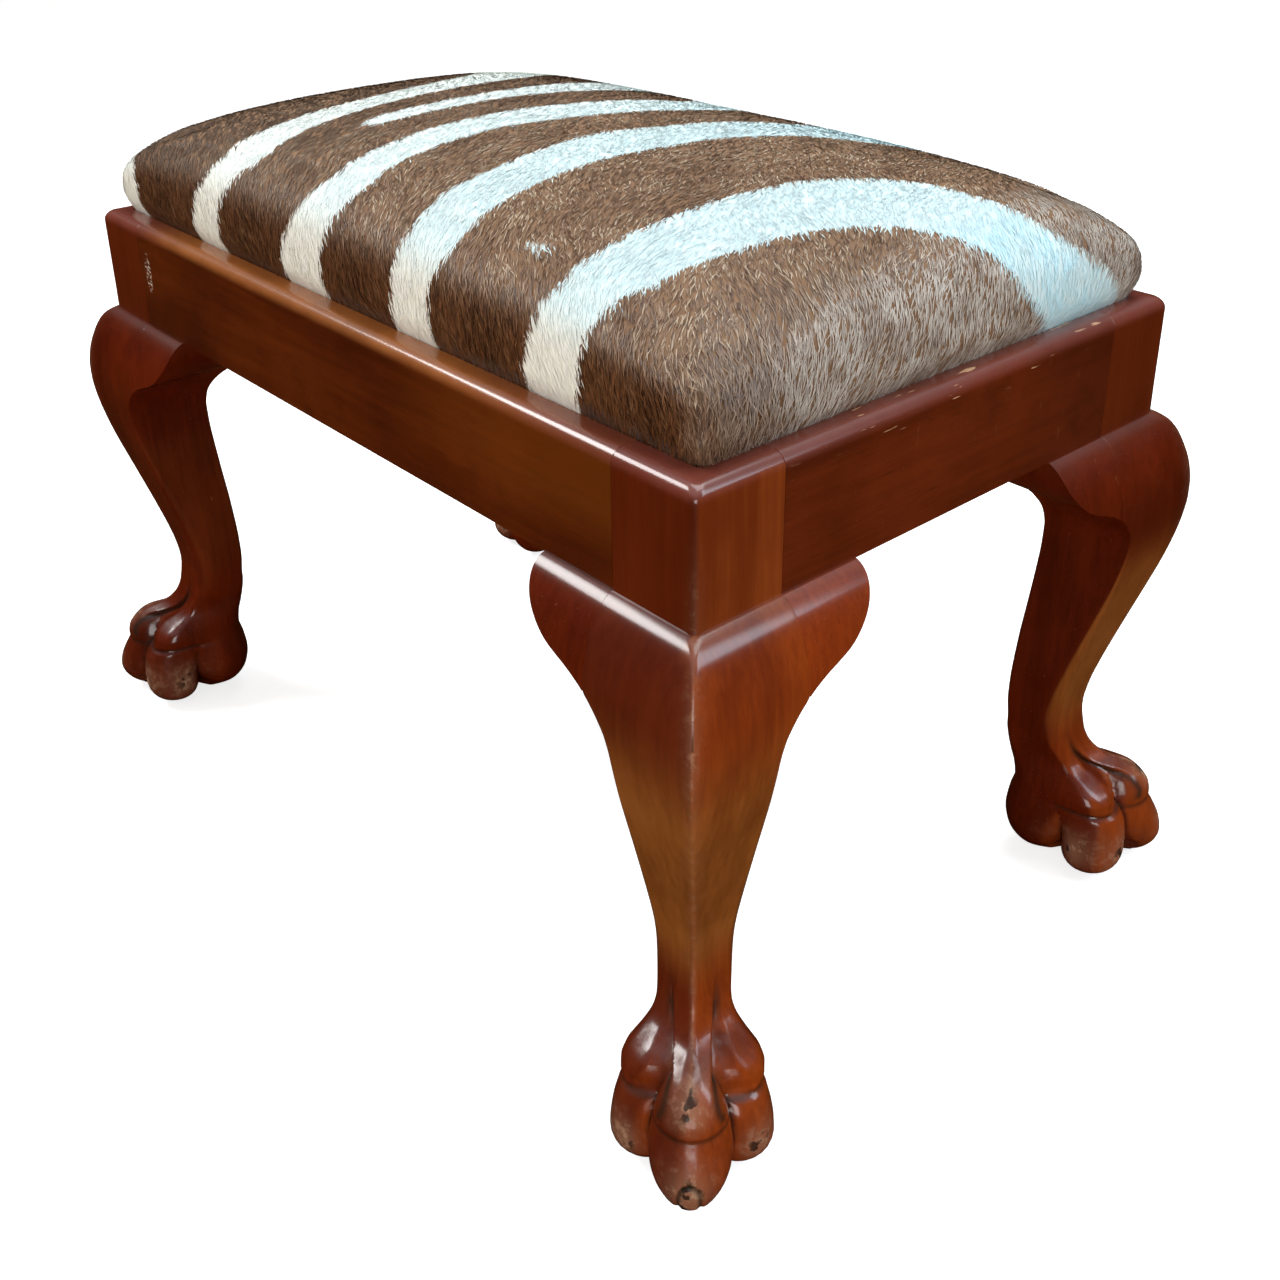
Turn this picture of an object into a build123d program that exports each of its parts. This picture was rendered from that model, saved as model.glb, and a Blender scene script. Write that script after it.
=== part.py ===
from build123d import *
import os

# Upholstered stool: a polished frame on four cabriole legs with carved paw feet,
# and a loose drop-in seat covered in hide. Millimetres, +Z up, front towards -Y.
# The origin is on the floor, under the middle of the frame.

# Frame: outside sizes over the rails and the square leg tops
frame_length = 560
frame_depth = 343
leg_height = 296          # floor to the underside of the rails
rail_height = 66
rail_thickness = 24
post_size = 51            # square top of each leg
top_arris = 7             # rounding of the outer top edge

# Mortise and tenon joints between rails and leg tops
tenon_thickness = 10
tenon_length = 28
tenon_shoulder = 8        # rail left below the tenon
tenon_outer_cheek = 7     # rail left outside the tenon
mortise_room = 0.1        # glue room round the tenon
mortise_end_room = 0.8    # glue room at the tenon's end

# Rebate round the inside of the rails that takes the seat
rim_width = 15            # top of the rail left outside the rebate
rebate_depth = 14

# Sawn outline of a leg, the same on two faces of the blank. Offsets are measured
# outwards from the corner of the frame, and on the ear's sweep from its tip. Knee and
# ear points are also measured down from the rails, shin and foot points up from the floor.
knee_front = [(1, 0), (6.5, 4), (11.5, 12), (16.8, 28), (18.9, 51), (17.2, 68), (12, 93)]
shin_front = [(-2.5, 150), (-8.9, 123), (-11.1, 101), (-9, 87), (-3, 75)]
ear_sweep = [(1, 7), (5, 16), (11.5, 23.5), (19.5, 29.5), (31.5, 34.5)]
ear_root = [(-48, 45), (-41.5, 52.5), (-37.5, 61), (-36, 74), (-36.8, 91)]
shin_back = [(-41.3, 149), (-42.8, 120), (-43, 101), (-41, 81), (-37, 61)]
foot_front = [(8, 65.5), (15.5, 58), (19.5, 48), (21, 36), (18, 6)]
foot_back = [(-24, 6), (-32, 30), (-35, 46)]
ear_reach = 98.5          # corner of the frame to the tip of an ear

# Carved paw: rounds on the four arrises of the foot, about the foot's own centre
paw_offset = -1           # foot centre from the corner of the frame
toe_radius = 20
toe_lift = 18
front_toe_reach = 20
side_toe_reach = 20.5
side_toe_setback = 1
knuckle_radius = 15
knuckle_lift = 54
front_knuckle_reach = 13
side_knuckle_reach = 20.5
side_knuckle_setback = 5
heel_radius = 25
heel_lift = 22
heel_reach = 27.5

# Corner blocks glued and screwed inside the frame
block_width = 30          # across the corner
block_height = 32
block_lift = 6            # above the underside of the rails
block_gap = 0.3           # to the inner corner of the leg top
screw_radius = 2
screw_head_radius = 4
screw_head_height = 2.6
screw_grip = 16           # length in the rail
screw_setback = 15        # from the block's end, along the rail
screw_seat = 12           # wood under the head
screw_room = 0.1

# Loose seat: half-lapped frame, webbing, hessian, stuffing, wadding, hide
seat_gap = 0.8            # between the hide and the rebate
seat_corner = 12
slip_corner = 18          # corners of the seat frame, under the hide
hide_thickness = 2
hide_turn_under = 22
slip_gap = 0.9            # between the seat frame's edge and the hide
slip_width = 45
slip_thickness = 20
layer_gap = 0.4
wadding_thickness = 6
web_width = 50
web_thickness = 1.5
web_gap = 0.1
web_ramp = 9              # run of a strap as it climbs over another
web_lap = 1               # flat of a strap past the one it lies on
web_margin = 9            # from the seat frame's edge to the strap ends
lengthwise_count = 2
crosswise_count = 4
hessian_thickness = 0.8
dust_thickness = 0.8

# Crown of the cushion: height above the rails, shares of the seat's length and depth
# that are left there, and the corner radius as a share of that level's half depth.
# Below it the sides swell a little over the rim and are drawn in at it.
crown_levels = [
    (37, 0.998, 0.996, 0.20),
    (55.5, 0.917, 0.90, 0.46),
    (66.5, 0.746, 0.685, 0.75),
    (71, 0.58, 0.486, 0.82),
    (72.6, 0.436, 0.326, 0.86),
    (73.4, 0.281, 0.191, 0.87),
    (73.7, 0.137, 0.082, 0.87),
]
crown_height = 74
swell = 1.5
swell_lift = 14

# Tacks
tack_head_radius = 3
tack_head_height = 0.7
tack_radius = 0.8
tack_length = 10
tack_spacing = 40
tack_row = 7              # from the edge of what it holds

half_length = frame_length / 2
half_depth = frame_depth / 2
rail_top = leg_height + rail_height
ledge = rail_top - rebate_depth
nodes = {}


def box(x0, x1, y0, y1, z0, z1):
    """Block between two corners."""
    middle = ((x0 + x1) / 2, (y0 + y1) / 2, (z0 + z1) / 2)
    return Pos(*middle) * Box(abs(x1 - x0), abs(y1 - y0), abs(z1 - z0))


def swap(piece):
    """Mirror image in the diagonal of a corner."""
    return mirror(piece, about=Plane((0, 0, 0), x_dir=(0, 0, 1), z_dir=(1, -1, 0)))


def both_ways(outline, near, far):
    """The solid left when one outline is sawn through two faces of a blank."""
    face = make_face(outline)
    across = extrude(Plane.XZ * face, amount=far, dir=(0, 1, 0))
    across += extrude(Plane.XZ * face, amount=near, dir=(0, -1, 0))
    return across & swap(across)


def group(solids):
    """Separate solids that share one node."""
    return Compound(children=list(solids))


def corners():
    """Names and directions of the four corners."""
    for side, sx in (("left", -1), ("right", 1)):
        for end, sy in (("front", -1), ("back", 1)):
            yield end + "_" + side, sx, sy


def at_corner(piece, sx, sy):
    """A piece made for the +X +Y corner, set at another corner."""
    if sx < 0:
        piece = mirror(piece, about=Plane.YZ)
    if sy < 0:
        piece = mirror(piece, about=Plane.XZ)
    return Pos(sx * half_length, sy * half_depth, 0) * piece


# Legs. Everything about one leg is measured from the corner of the frame, with
# plus pointing outwards, and then set at the four corners.
def sawn_leg():
    """Cabriole leg below the rails, with the ears still on it."""
    down = [(t, leg_height - d) for t, d in knee_front] + shin_front + foot_front
    up = foot_back + shin_back[::-1]
    up += [(t, leg_height - d) for t, d in ear_root[::-1]]
    up += [(t - ear_reach, leg_height - d) for t, d in ear_sweep[::-1]]
    up.append((-ear_reach, leg_height))
    outline = Spline(*down) + Line(down[-1], up[0]) + Spline(*up) + Line(up[-1], down[0])
    return both_ways(outline, ear_reach + post_size, ear_reach)


def leg_post():
    """Square top of a leg, with its outer top edges rounded."""
    outline = Polyline((0, leg_height), (-post_size, leg_height), (-post_size, rail_top), (-top_arris, rail_top))
    outline += RadiusArc((-top_arris, rail_top), (0, rail_top - top_arris), top_arris)
    outline += Line((0, rail_top - top_arris), (0, leg_height))
    return both_ways(outline, post_size, post_size)


def paw():
    """Three knuckled toes and a heel, as reach and setback from the foot's centre."""
    rounds = [
        (-heel_reach, 0, heel_lift, heel_radius),
        (front_toe_reach, 0, toe_lift, toe_radius),
        (front_knuckle_reach, 0, knuckle_lift, knuckle_radius),
    ]
    for side in (-1, 1):
        rounds.append((-side_toe_setback, side * side_toe_reach, toe_lift, toe_radius))
        rounds.append((-side_knuckle_setback, side * side_knuckle_reach, knuckle_lift, knuckle_radius))
    centre = Pos(paw_offset, paw_offset, 0) * Rot(0, 0, 45)
    return [centre * Pos(out, across, lift) * Sphere(radius) for out, across, lift, radius in rounds]


def tenon(room, end_room):
    """Tenon of the rail that runs along X, from the rail's shoulder into the leg top."""
    y1 = -tenon_outer_cheek + room
    y0 = -tenon_outer_cheek - tenon_thickness - room
    z0 = leg_height + tenon_shoulder - room
    z1 = ledge - tenon_shoulder + room
    return box(-post_size, -post_size + tenon_length + end_room, y0, y1, z0, z1)


blank = sawn_leg()
inside = 4 * post_size
leg_side = box(-post_size, inside, -post_size, inside, -inside, 2 * leg_height)
ear_side = box(-inside, -post_size, -post_size, inside, -inside, 2 * leg_height)
leg = (blank & leg_side) + leg_post()
for toe in paw():
    leg += toe
leg &= box(-inside, inside, -inside, inside, 0, rail_top)
leg -= box(-post_size, -rim_width, -post_size, -rim_width, ledge, rail_top)
mortise = tenon(mortise_room, mortise_end_room)
leg -= mortise
leg -= swap(mortise)
ear = blank & ear_side
for name, sx, sy in corners():
    nodes["leg_" + name] = at_corner(leg, sx, sy)
    nodes["knee_block_long_" + name] = at_corner(ear, sx, sy)
    nodes["knee_block_short_" + name] = at_corner(swap(ear), sx, sy)


# Rails, with the outer face on the XZ plane and the inside towards -Y
def rail(length):
    """Rail with a rounded top edge, a rebate for the seat and a tenon at each end."""
    run = length - 2 * post_size
    outline = Polyline(
        (0, rail_top - top_arris),
        (0, leg_height),
        (-rail_thickness, leg_height),
        (-rail_thickness, ledge),
        (-rim_width, ledge),
        (-rim_width, rail_top),
        (-top_arris, rail_top),
    )
    outline += RadiusArc((-top_arris, rail_top), (0, rail_top - top_arris), top_arris)
    bar = extrude(Plane.YZ * make_face(outline), amount=run / 2, both=True)
    end = Pos(length / 2, 0, 0) * tenon(0, 0)
    return bar + end + mirror(end, about=Plane.YZ)


# Corner blocks lie across the corner, clear of the leg top, against both rails
block_near = 2 * post_size + block_gap * 2 ** 0.5
block_far = block_near + block_width * 2 ** 0.5
block_base = leg_height + block_lift


def corner_block():
    """Bar across a corner with its ends on the rails."""
    t = rail_thickness
    outline = Polyline((-t, t - block_near), (-t, t - block_far), (t - block_far, -t), (t - block_near, -t), close=True)
    return extrude(Pos(0, 0, block_base) * make_face(outline), amount=block_height)


def block_screw(room, head_length):
    """Screw, or its hole, through a corner block into the rail that runs along X."""
    at_x = rail_thickness - block_far + screw_setback
    seat = -rail_thickness - screw_seat
    middle = block_base + block_height / 2
    shank_length = screw_seat + screw_grip
    shank = Pos(at_x, seat + shank_length / 2, middle) * Rot(90, 0, 0) * Cylinder(screw_radius + room, shank_length)
    head = Pos(at_x, seat - head_length / 2, middle) * Rot(90, 0, 0) * Cylinder(screw_head_radius + room, head_length)
    return shank + head


long_rail = rail(frame_length)
short_rail = rail(frame_depth)
block = corner_block()
hole = block_screw(screw_room, block_width)
screw = block_screw(0, screw_head_height)
block -= hole
block -= swap(hole)
for name, sy in {"front_rail": -1, "back_rail": 1}.items():
    piece = Pos(0, half_depth, 0) * long_rail
    nodes[name] = piece if sy > 0 else mirror(piece, about=Plane.XZ)
for name, sx in {"left_rail": -1, "right_rail": 1}.items():
    piece = Rot(0, 0, -90) * Pos(0, half_length, 0) * short_rail
    nodes[name] = piece if sx > 0 else mirror(piece, about=Plane.YZ)
screws = []
for name, sx, sy in corners():
    nodes["corner_block_" + name] = at_corner(block, sx, sy)
    screws += [at_corner(screw, sx, sy), at_corner(swap(screw), sx, sy)]
    along, up = name.split("_")
    nodes[along + "_rail"] -= at_corner(hole, sx, sy)
    nodes[up + "_rail"] -= at_corner(swap(hole), sx, sy)
nodes["corner_block_screws"] = group(screws)

# Seat. The hide wraps the seat frame, and all layers keep to the same plan.
seat_x = half_length - rim_width - seat_gap
seat_y = half_depth - rim_width - seat_gap
slip_base = ledge + hide_thickness
slip_top = slip_base + slip_thickness
slip_inset = hide_thickness + slip_gap


def plan(inset, z, corner=seat_corner):
    """Rounded rectangle of the seat's plan at one height."""
    return Pos(0, 0, z) * RectangleRounded(2 * (seat_x - inset), 2 * (seat_y - inset), corner)


def slab(inset, z0, z1, corner=seat_corner):
    """Flat layer of the seat's plan."""
    return extrude(plan(inset, z0, corner), amount=z1 - z0)


def crowned(inset, base):
    """Crowned cushion form, drawn in all round by an inset and cut off at a base height."""
    rise = 1 - inset / crown_height
    sections = [plan(inset, ledge), plan(inset, rail_top)]
    sections.append(plan(inset - swell, rail_top + swell_lift * rise))
    for height, long_share, deep_share, corner_share in crown_levels:
        width = (seat_x - inset) * long_share
        depth = (seat_y - inset) * deep_share
        level = RectangleRounded(2 * width, 2 * depth, depth * corner_share)
        sections.append(Pos(0, 0, rail_top + height * rise) * level)
    return loft(sections) & box(-half_length, half_length, -half_depth, half_depth, base, 2 * rail_top)


slip_x = seat_x - slip_inset
slip_y = seat_y - slip_inset
slip_plan = slab(slip_inset, slip_base, slip_top, slip_corner)
slip_middle = (slip_base + slip_top) / 2
cut_x = slip_x - slip_width
cut_y = slip_y - slip_width
long_member = box(-slip_x, slip_x, cut_y, slip_y, slip_base, slip_top)
long_member -= box(cut_x, slip_x, cut_y, slip_y, slip_base, slip_middle)
long_member -= box(-slip_x, -cut_x, cut_y, slip_y, slip_base, slip_middle)
long_member &= slip_plan
short_member = box(cut_x, slip_x, -slip_y, slip_y, slip_base, slip_top)
short_member -= box(cut_x, slip_x, cut_y, slip_y, slip_middle, slip_top)
short_member -= box(cut_x, slip_x, -slip_y, -cut_y, slip_middle, slip_top)
short_member &= slip_plan
nodes["seat_frame_back"] = long_member
nodes["seat_frame_front"] = mirror(long_member, about=Plane.XZ)
nodes["seat_frame_right"] = short_member
nodes["seat_frame_left"] = mirror(short_member, about=Plane.YZ)

# Webbing: straps lie on the seat frame and climb over every other strap they cross
web_x = slip_x - web_margin
web_y = slip_y - web_margin
web_lift = web_thickness + web_gap


def spaced(count, half):
    """Middles of a number of straps, evenly spread over the opening."""
    pitch = 2 * half / count
    return [pitch * (k + 0.5) - half for k in range(count)]


lengthwise_at = spaced(lengthwise_count, cut_y)
crosswise_at = spaced(crosswise_count, cut_x)


def strap(reach, crossings):
    """Strap along X that lies flat and humps over the straps it crosses."""
    line = [(-reach, 0)]
    for at in crossings:
        rise = web_width / 2 + web_lap
        line += [(at - rise - web_ramp, 0), (at - rise, web_lift), (at + rise, web_lift), (at + rise + web_ramp, 0)]
    line.append((reach, 0))
    lower = [(x, slip_top + z) for x, z in line]
    upper = [(x, z + web_thickness) for x, z in lower[::-1]]
    face = make_face(Polyline(*lower, *upper, close=True))
    return extrude(Plane.XZ * face, amount=web_width / 2, both=True)


lengthwise = []
for row, y in enumerate(lengthwise_at):
    over = [x for column, x in enumerate(crosswise_at) if (row + column) % 2 == 0]
    lengthwise.append(Pos(0, y, 0) * strap(web_x, over))
crosswise = []
for column, x in enumerate(crosswise_at):
    over = [y for row, y in enumerate(lengthwise_at) if (row + column) % 2 == 1]
    crosswise.append(Pos(x, 0, 0) * Rot(0, 0, 90) * strap(web_y, over))
nodes["webbing_lengthwise"] = group(lengthwise)
nodes["webbing_crosswise"] = group(crosswise)

# Layers over the webbing
wadding_inset = hide_thickness + layer_gap
stuffing_inset = wadding_inset + wadding_thickness + layer_gap
hessian_base = slip_top + web_lift + web_thickness + web_gap
hessian_top = hessian_base + hessian_thickness
nodes["hessian_platform"] = slab(stuffing_inset, hessian_base, hessian_top)
nodes["seat_stuffing"] = crowned(stuffing_inset, hessian_top + web_gap)
wadding_hollow = crowned(wadding_inset + wadding_thickness, slip_top)
nodes["wadding_layer"] = crowned(wadding_inset, slip_top) - wadding_hollow

# Hide: crowned skin, turned under the seat frame all round
hide = crowned(0, ledge) - crowned(hide_thickness, slip_base)
hide -= slab(hide_turn_under, ledge - hide_thickness, slip_base)
nodes["hide_cover"] = hide
dust_inset = hide_turn_under + layer_gap
nodes["dust_cover"] = slab(dust_inset, slip_base - dust_thickness, slip_base)


def tack(x, y, z, way):
    """Tack with its head on a face at z and its shank driven up or down."""
    head = Pos(x, y, z - way * tack_head_height / 2) * Cylinder(tack_head_radius, tack_head_height)
    shank = Pos(x, y, z + way * tack_length / 2) * Cylinder(tack_radius, tack_length)
    return head + shank


def tack_ring(inset, z):
    """Row of tacks under the seat, clear of the ledges at the leg tops."""
    x_run = half_length - post_size - 2 * tack_head_radius
    y_run = half_depth - post_size - 2 * tack_head_radius
    x_count = int(2 * x_run / tack_spacing)
    y_count = int(2 * y_run / tack_spacing)
    x_side = seat_x - inset
    y_side = seat_y - inset
    spots = [(x, sy * y_side) for x in spaced(x_count, x_run) for sy in (-1, 1)]
    spots += [(sx * x_side, y) for y in spaced(y_count, y_run) for sx in (-1, 1)]
    return group(tack(x, y, z, 1) for x, y in spots)


web_spots = []
third = web_width / 3
for y in lengthwise_at:
    web_spots += [(s * (web_x - tack_row), y + k * third) for s in (-1, 1) for k in (-1, 0, 1)]
for x in crosswise_at:
    web_spots += [(x + k * third, s * (web_y - tack_row)) for s in (-1, 1) for k in (-1, 0, 1)]
nodes["webbing_tacks"] = group(tack(x, y, slip_top + web_thickness, -1) for x, y in web_spots)
nodes["cover_tacks"] = tack_ring(hide_turn_under - tack_row, ledge)
nodes["dust_cover_tacks"] = tack_ring(dust_inset + tack_row, slip_base - dust_thickness)

os.makedirs("parts", exist_ok=True)
for name, piece in nodes.items():
    piece.label = name
    export_step(piece, "parts/" + name + ".step")
print(len(nodes), "nodes")
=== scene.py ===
# %% [markdown]
# # A mahogany stool with a striped hide seat
# The packed CAD model is the fixed frame of this scene. Here it gets its looks: carved legs
# in place of the plain CAD ones, polished wood, and a hide with hair for the loose seat.
# Everything is in metres, in the CAD model's own frame, with the floor at zero height.

import math

import bpy
import numpy as np
from mathutils import Matrix, Vector


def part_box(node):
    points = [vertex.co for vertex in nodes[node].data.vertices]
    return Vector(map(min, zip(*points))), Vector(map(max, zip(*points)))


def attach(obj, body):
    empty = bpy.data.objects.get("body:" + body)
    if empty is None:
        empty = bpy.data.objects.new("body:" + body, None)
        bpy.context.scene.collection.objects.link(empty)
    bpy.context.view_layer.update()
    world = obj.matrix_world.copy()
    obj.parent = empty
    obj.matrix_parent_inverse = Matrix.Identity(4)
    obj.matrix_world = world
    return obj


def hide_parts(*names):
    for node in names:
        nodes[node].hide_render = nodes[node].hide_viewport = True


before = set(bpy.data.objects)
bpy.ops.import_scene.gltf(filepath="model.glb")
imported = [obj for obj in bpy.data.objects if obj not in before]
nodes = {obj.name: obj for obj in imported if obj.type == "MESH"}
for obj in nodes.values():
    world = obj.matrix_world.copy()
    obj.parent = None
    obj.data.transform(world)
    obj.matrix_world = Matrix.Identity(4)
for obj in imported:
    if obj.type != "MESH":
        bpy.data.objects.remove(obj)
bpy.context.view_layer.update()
scene = bpy.context.scene

# %% [markdown]
# ## Sizes shared with the CAD model
# Lengths of pieces are written in millimetres, as on a drawing, and turned into metres when a mesh
# is made. Lights, the camera and places on the object in a finish are in metres, as Blender has them.
# The frame is 560 by 343 mm, its rails top out at 362 mm and the seat's crown at 436 mm. The main
# sizes could be typed in again; they are read from the CAD model, so that the looks follow it.

# %% Sizes
MM = 0.001


def edge_of(node, corner, axis):
    """Where a CAD node's box ends, in millimetres: corner 0 is its lowest, 1 its highest."""
    return round(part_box(node)[corner][axis] / MM, 3)


HALF_LENGTH = edge_of("right_rail", 1, 0)
HALF_DEPTH = edge_of("back_rail", 1, 1)
RAIL_TOP = edge_of("front_rail", 1, 2)
POST = HALF_LENGTH - edge_of("leg_front_right", 0, 0)
LEDGE = edge_of("hide_cover", 0, 2)
RIM = 15.0
TOP_ARRIS = 7.0
CORNERS = {"front_left": (-1, -1), "front_right": (1, -1), "back_left": (-1, 1), "back_right": (1, 1)}
print("rails top out at", RAIL_TOP, "mm, leg tops are", POST, "mm square, seat ledge at", LEDGE, "mm")

# %% [markdown]
# ## Smooth lines and meshes
# An outline is set by a few points. Straight runs between them would show as flats, and a common
# spline can swing past its points, so the line used here goes through each of them and never
# overshoots. A mesh could be built corner by corner; handing over all its points at once is quicker.


# %% Smooth lines and meshes
def through(pairs, where):
    """Values at `where` on a smooth line through given (place, value) pairs, with no overshoot."""
    place, value = np.array(pairs, float).T
    gap = np.diff(place)
    rise = np.diff(value) / gap
    slope = np.concatenate([rise[:1], np.zeros(len(gap) - 1), rise[-1:]])
    same = rise[:-1] * rise[1:] > 0
    left, right = 2 * gap[1:] + gap[:-1], gap[1:] + 2 * gap[:-1]
    steady = np.where(same, rise[:-1], 1), np.where(same, rise[1:], 1)
    slope[1:-1] = np.where(same, (left + right) / (left / steady[0] + right / steady[1]), 0)
    i = np.clip(np.searchsorted(place, where) - 1, 0, len(gap) - 1)
    t = np.clip((where - place[i]) / gap[i], 0, 1)
    start = value[i] * (1 + 2 * t) * (1 - t) ** 2 + slope[i] * gap[i] * t * (1 - t) ** 2
    return start + value[i + 1] * t * t * (3 - 2 * t) + slope[i + 1] * gap[i] * t * t * (t - 1)


def mesh_object(name, points, faces, attributes=None):
    """A smooth mesh object from points in millimetres, with named values on its points."""
    mesh = bpy.data.meshes.new(name)
    mesh.from_pydata((np.asarray(points) * MM).tolist(), [], faces)
    mesh.update()
    for key, values in (attributes or {}).items():
        layer = mesh.attributes.new(key, "FLOAT", "POINT")
        layer.data.foreach_set("value", np.asarray(values, np.float32).ravel())
    mesh.shade_smooth()
    made = bpy.data.objects.new(name, mesh)
    scene.collection.objects.link(made)
    return made


print("halfway between 0 and 2:", float(through([(0, 0), (1, 2)], 0.5)))

# %% [markdown]
# ## Sums on shader sockets
# A finish is a tree of shader nodes. It could be wired by hand in the shader editor. Here one small
# class wraps an output socket, so that a sum written in Python adds the nodes for it, and colours
# are mixed by a mask. That way a finish reads like a recipe.


# %% Sums on shader sockets
class Wire:
    """One output socket of a shader tree."""

    def __init__(self, tree, socket):
        self.tree = tree
        self.socket = socket

    def add(self, kind, settings=None, sockets=None, out=0):
        """A new node of one kind: its settings first, then values or links of its sockets."""
        node = self.tree.nodes.new(kind)
        for key, value in (settings or {}).items():
            setattr(node, key, value)
        for key, value in (sockets or {}).items():
            if isinstance(value, Wire):
                self.tree.links.new(value.socket, node.inputs[key])
            else:
                node.inputs[key].default_value = value
        return Wire(self.tree, node.outputs[out])

    def several(self, kind, names, sockets=None):
        """A new node of one kind, with the outputs of those names."""
        node = self.add(kind, None, sockets).socket.node
        return [Wire(self.tree, node.outputs[name]) for name in names]

    def sum_of(self, operation, first, second):
        """One Math node, such as ADD or SINE."""
        return self.add("ShaderNodeMath", {"operation": operation}, {0: first, 1: second})

    def __add__(self, other):
        return self.sum_of("ADD", self, other)

    def __radd__(self, other):
        return self.sum_of("ADD", other, self)

    def __sub__(self, other):
        return self.sum_of("SUBTRACT", self, other)

    def __rsub__(self, other):
        return self.sum_of("SUBTRACT", other, self)

    def __mul__(self, other):
        return self.sum_of("MULTIPLY", self, other)

    def __rmul__(self, other):
        return self.sum_of("MULTIPLY", other, self)

    def most(self, other):
        """The larger of two values."""
        return self.sum_of("MAXIMUM", self, other)

    def ramp(self, low, high, start=0.0, end=1.0):
        """Goes smoothly from start to end while this value goes from low to high."""
        reach = {"Value": self, "From Min": low, "From Max": high, "To Min": start, "To Max": end}
        return self.add("ShaderNodeMapRange", {"interpolation_type": "SMOOTHSTEP"}, reach)

    def mix(self, first, second):
        """Colours mixed with this value as the mask; a colour can be a code such as 8a4a2c."""
        ends = [colour(end) if isinstance(end, str) else end for end in (first, second)]
        settings = {"data_type": "RGBA", "clamp_factor": True}
        return self.add("ShaderNodeMix", settings, {0: self, 6: ends[0], 7: ends[1]}, out=2)

    def scaled(self, by):
        """A vector multiplied part by part."""
        return self.add("ShaderNodeVectorMath", {"operation": "MULTIPLY"}, {0: self, 1: by})

    def noise(self, scale, detail=4.0, roughness=0.55, distortion=0.0):
        """Noise over this vector, between 0 and 1."""
        values = {"Vector": self, "Scale": scale, "Detail": detail, "Roughness": roughness}
        return self.add("ShaderNodeTexNoise", None, values | {"Distortion": distortion})

    def parts(self):
        """The x, y and z of this vector."""
        return self.several("ShaderNodeSeparateXYZ", "XYZ", {0: self})

    def bump(self, strength, distance):
        """A normal from this value taken as a height."""
        return self.add("ShaderNodeBump", None, {"Strength": strength, "Distance": distance, "Height": self})


print("wires know", [name for name in vars(Wire) if not name.startswith("_")])

# %% [markdown]
# ## Empty finishes
# Each finish starts from Blender's all-round shader, with the numbers that are the same all over set
# on it, and from the place on the object. A finish could be a changed copy of another one; starting
# each from an empty one keeps them apart.


# %% Empty finishes
def colour(code):
    """A screen colour such as 8a4a2c as the linear values that shaders take."""
    steps = [int(code[i : i + 2], 16) / 255 for i in (0, 2, 4)]
    return tuple(s / 12.92 if s <= 0.04045 else ((s + 0.055) / 1.055) ** 2.4 for s in steps) + (1.0,)


def socket_of(shader, key):
    """A shader's input by a plain name such as coat_weight."""
    return shader.inputs[key.replace("_", " ").title().replace("Ior", "IOR")]


def material(name, **numbers):
    """An empty finish, its shader with some fixed numbers set, and the place on the object."""
    made = bpy.data.materials.new(name)
    made.use_nodes = True
    tree = made.node_tree
    shader = tree.nodes["Principled BSDF"]
    for key, value in numbers.items():
        socket_of(shader, key).default_value = value
    place = Wire(tree, None).add("ShaderNodeTexCoord", out="Object")
    return made, shader, place


def feed(shader, **wires):
    """Links wires into a shader's sockets."""
    for key, wire in wires.items():
        wire.tree.links.new(wire.socket, socket_of(shader, key))


def attribute(place, name):
    """A value that is kept on the points of a mesh."""
    return place.add("ShaderNodeAttribute", {"attribute_name": name}, out="Fac")


print("8a4a2c as shaders take it", colour("8a4a2c"))

# %% [markdown]
# ## Grain and polish
# Mahogany is red-brown with fine dark pores along the grain. Old polish gives it a clear gloss
# and lets the colour pool darker here and there. A picture of a board could be wrapped round each
# piece; noise stretched along the wood needs no picture and has no seams.

# %% Grain and polish
ALONG = {"x": (0.07, 1, 1), "y": (1, 0.07, 1), "z": (1, 1, 0.05)}
TOP_EDGE = 0.3535, 0.3595
SCUFF_STRETCH = 1, 1, 0.3
SCUFF = -0.2185, -0.1715, 0.333 * SCUFF_STRETCH[2]
SCUFF_REACH = 0.003, 0.0046


def polished(wood, place, pores, clouds, smudges):
    """Wood with dark pores, pools of dark polish, fine scratches and pale specks."""
    wood = (pores * 0.3).mix(wood, "280a02")
    wood = (clouds.ramp(0.5, 0.7) * smudges.ramp(0.42, 0.72) * 0.55).mix(wood, "240801")
    scratches = place.scaled((1, 1, 0.16)).noise(420, 2, 0.4).ramp(0.73, 0.78) * clouds.ramp(0.5, 0.62)
    wood = (scratches * 0.3).mix(wood, "b07a50")
    specks = place.noise(1300, 1, 0.4).ramp(0.76, 0.80)
    return (specks * 0.35).mix(wood, "c09078")


def sheen_and_wear_top(place, smudges):
    """Mask and colour of the top edge: painted sheen where its polish mirrors the windows, orange along the
    long rails' middle, with pale wear where hands have rubbed it.
    """
    x, _, z = place.parts()
    # painted reflection and wear: the rounded top edge is painted lighter, warm orange along the middle of
    # the long rails
    mask = z.ramp(*TOP_EDGE) * (smudges * 0.6 + 0.2)
    warm = x.ramp(-0.235, -0.17) * x.ramp(0.08, 0.225, 1, 0)
    return mask, warm.mix("80443a", "b87038")


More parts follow.
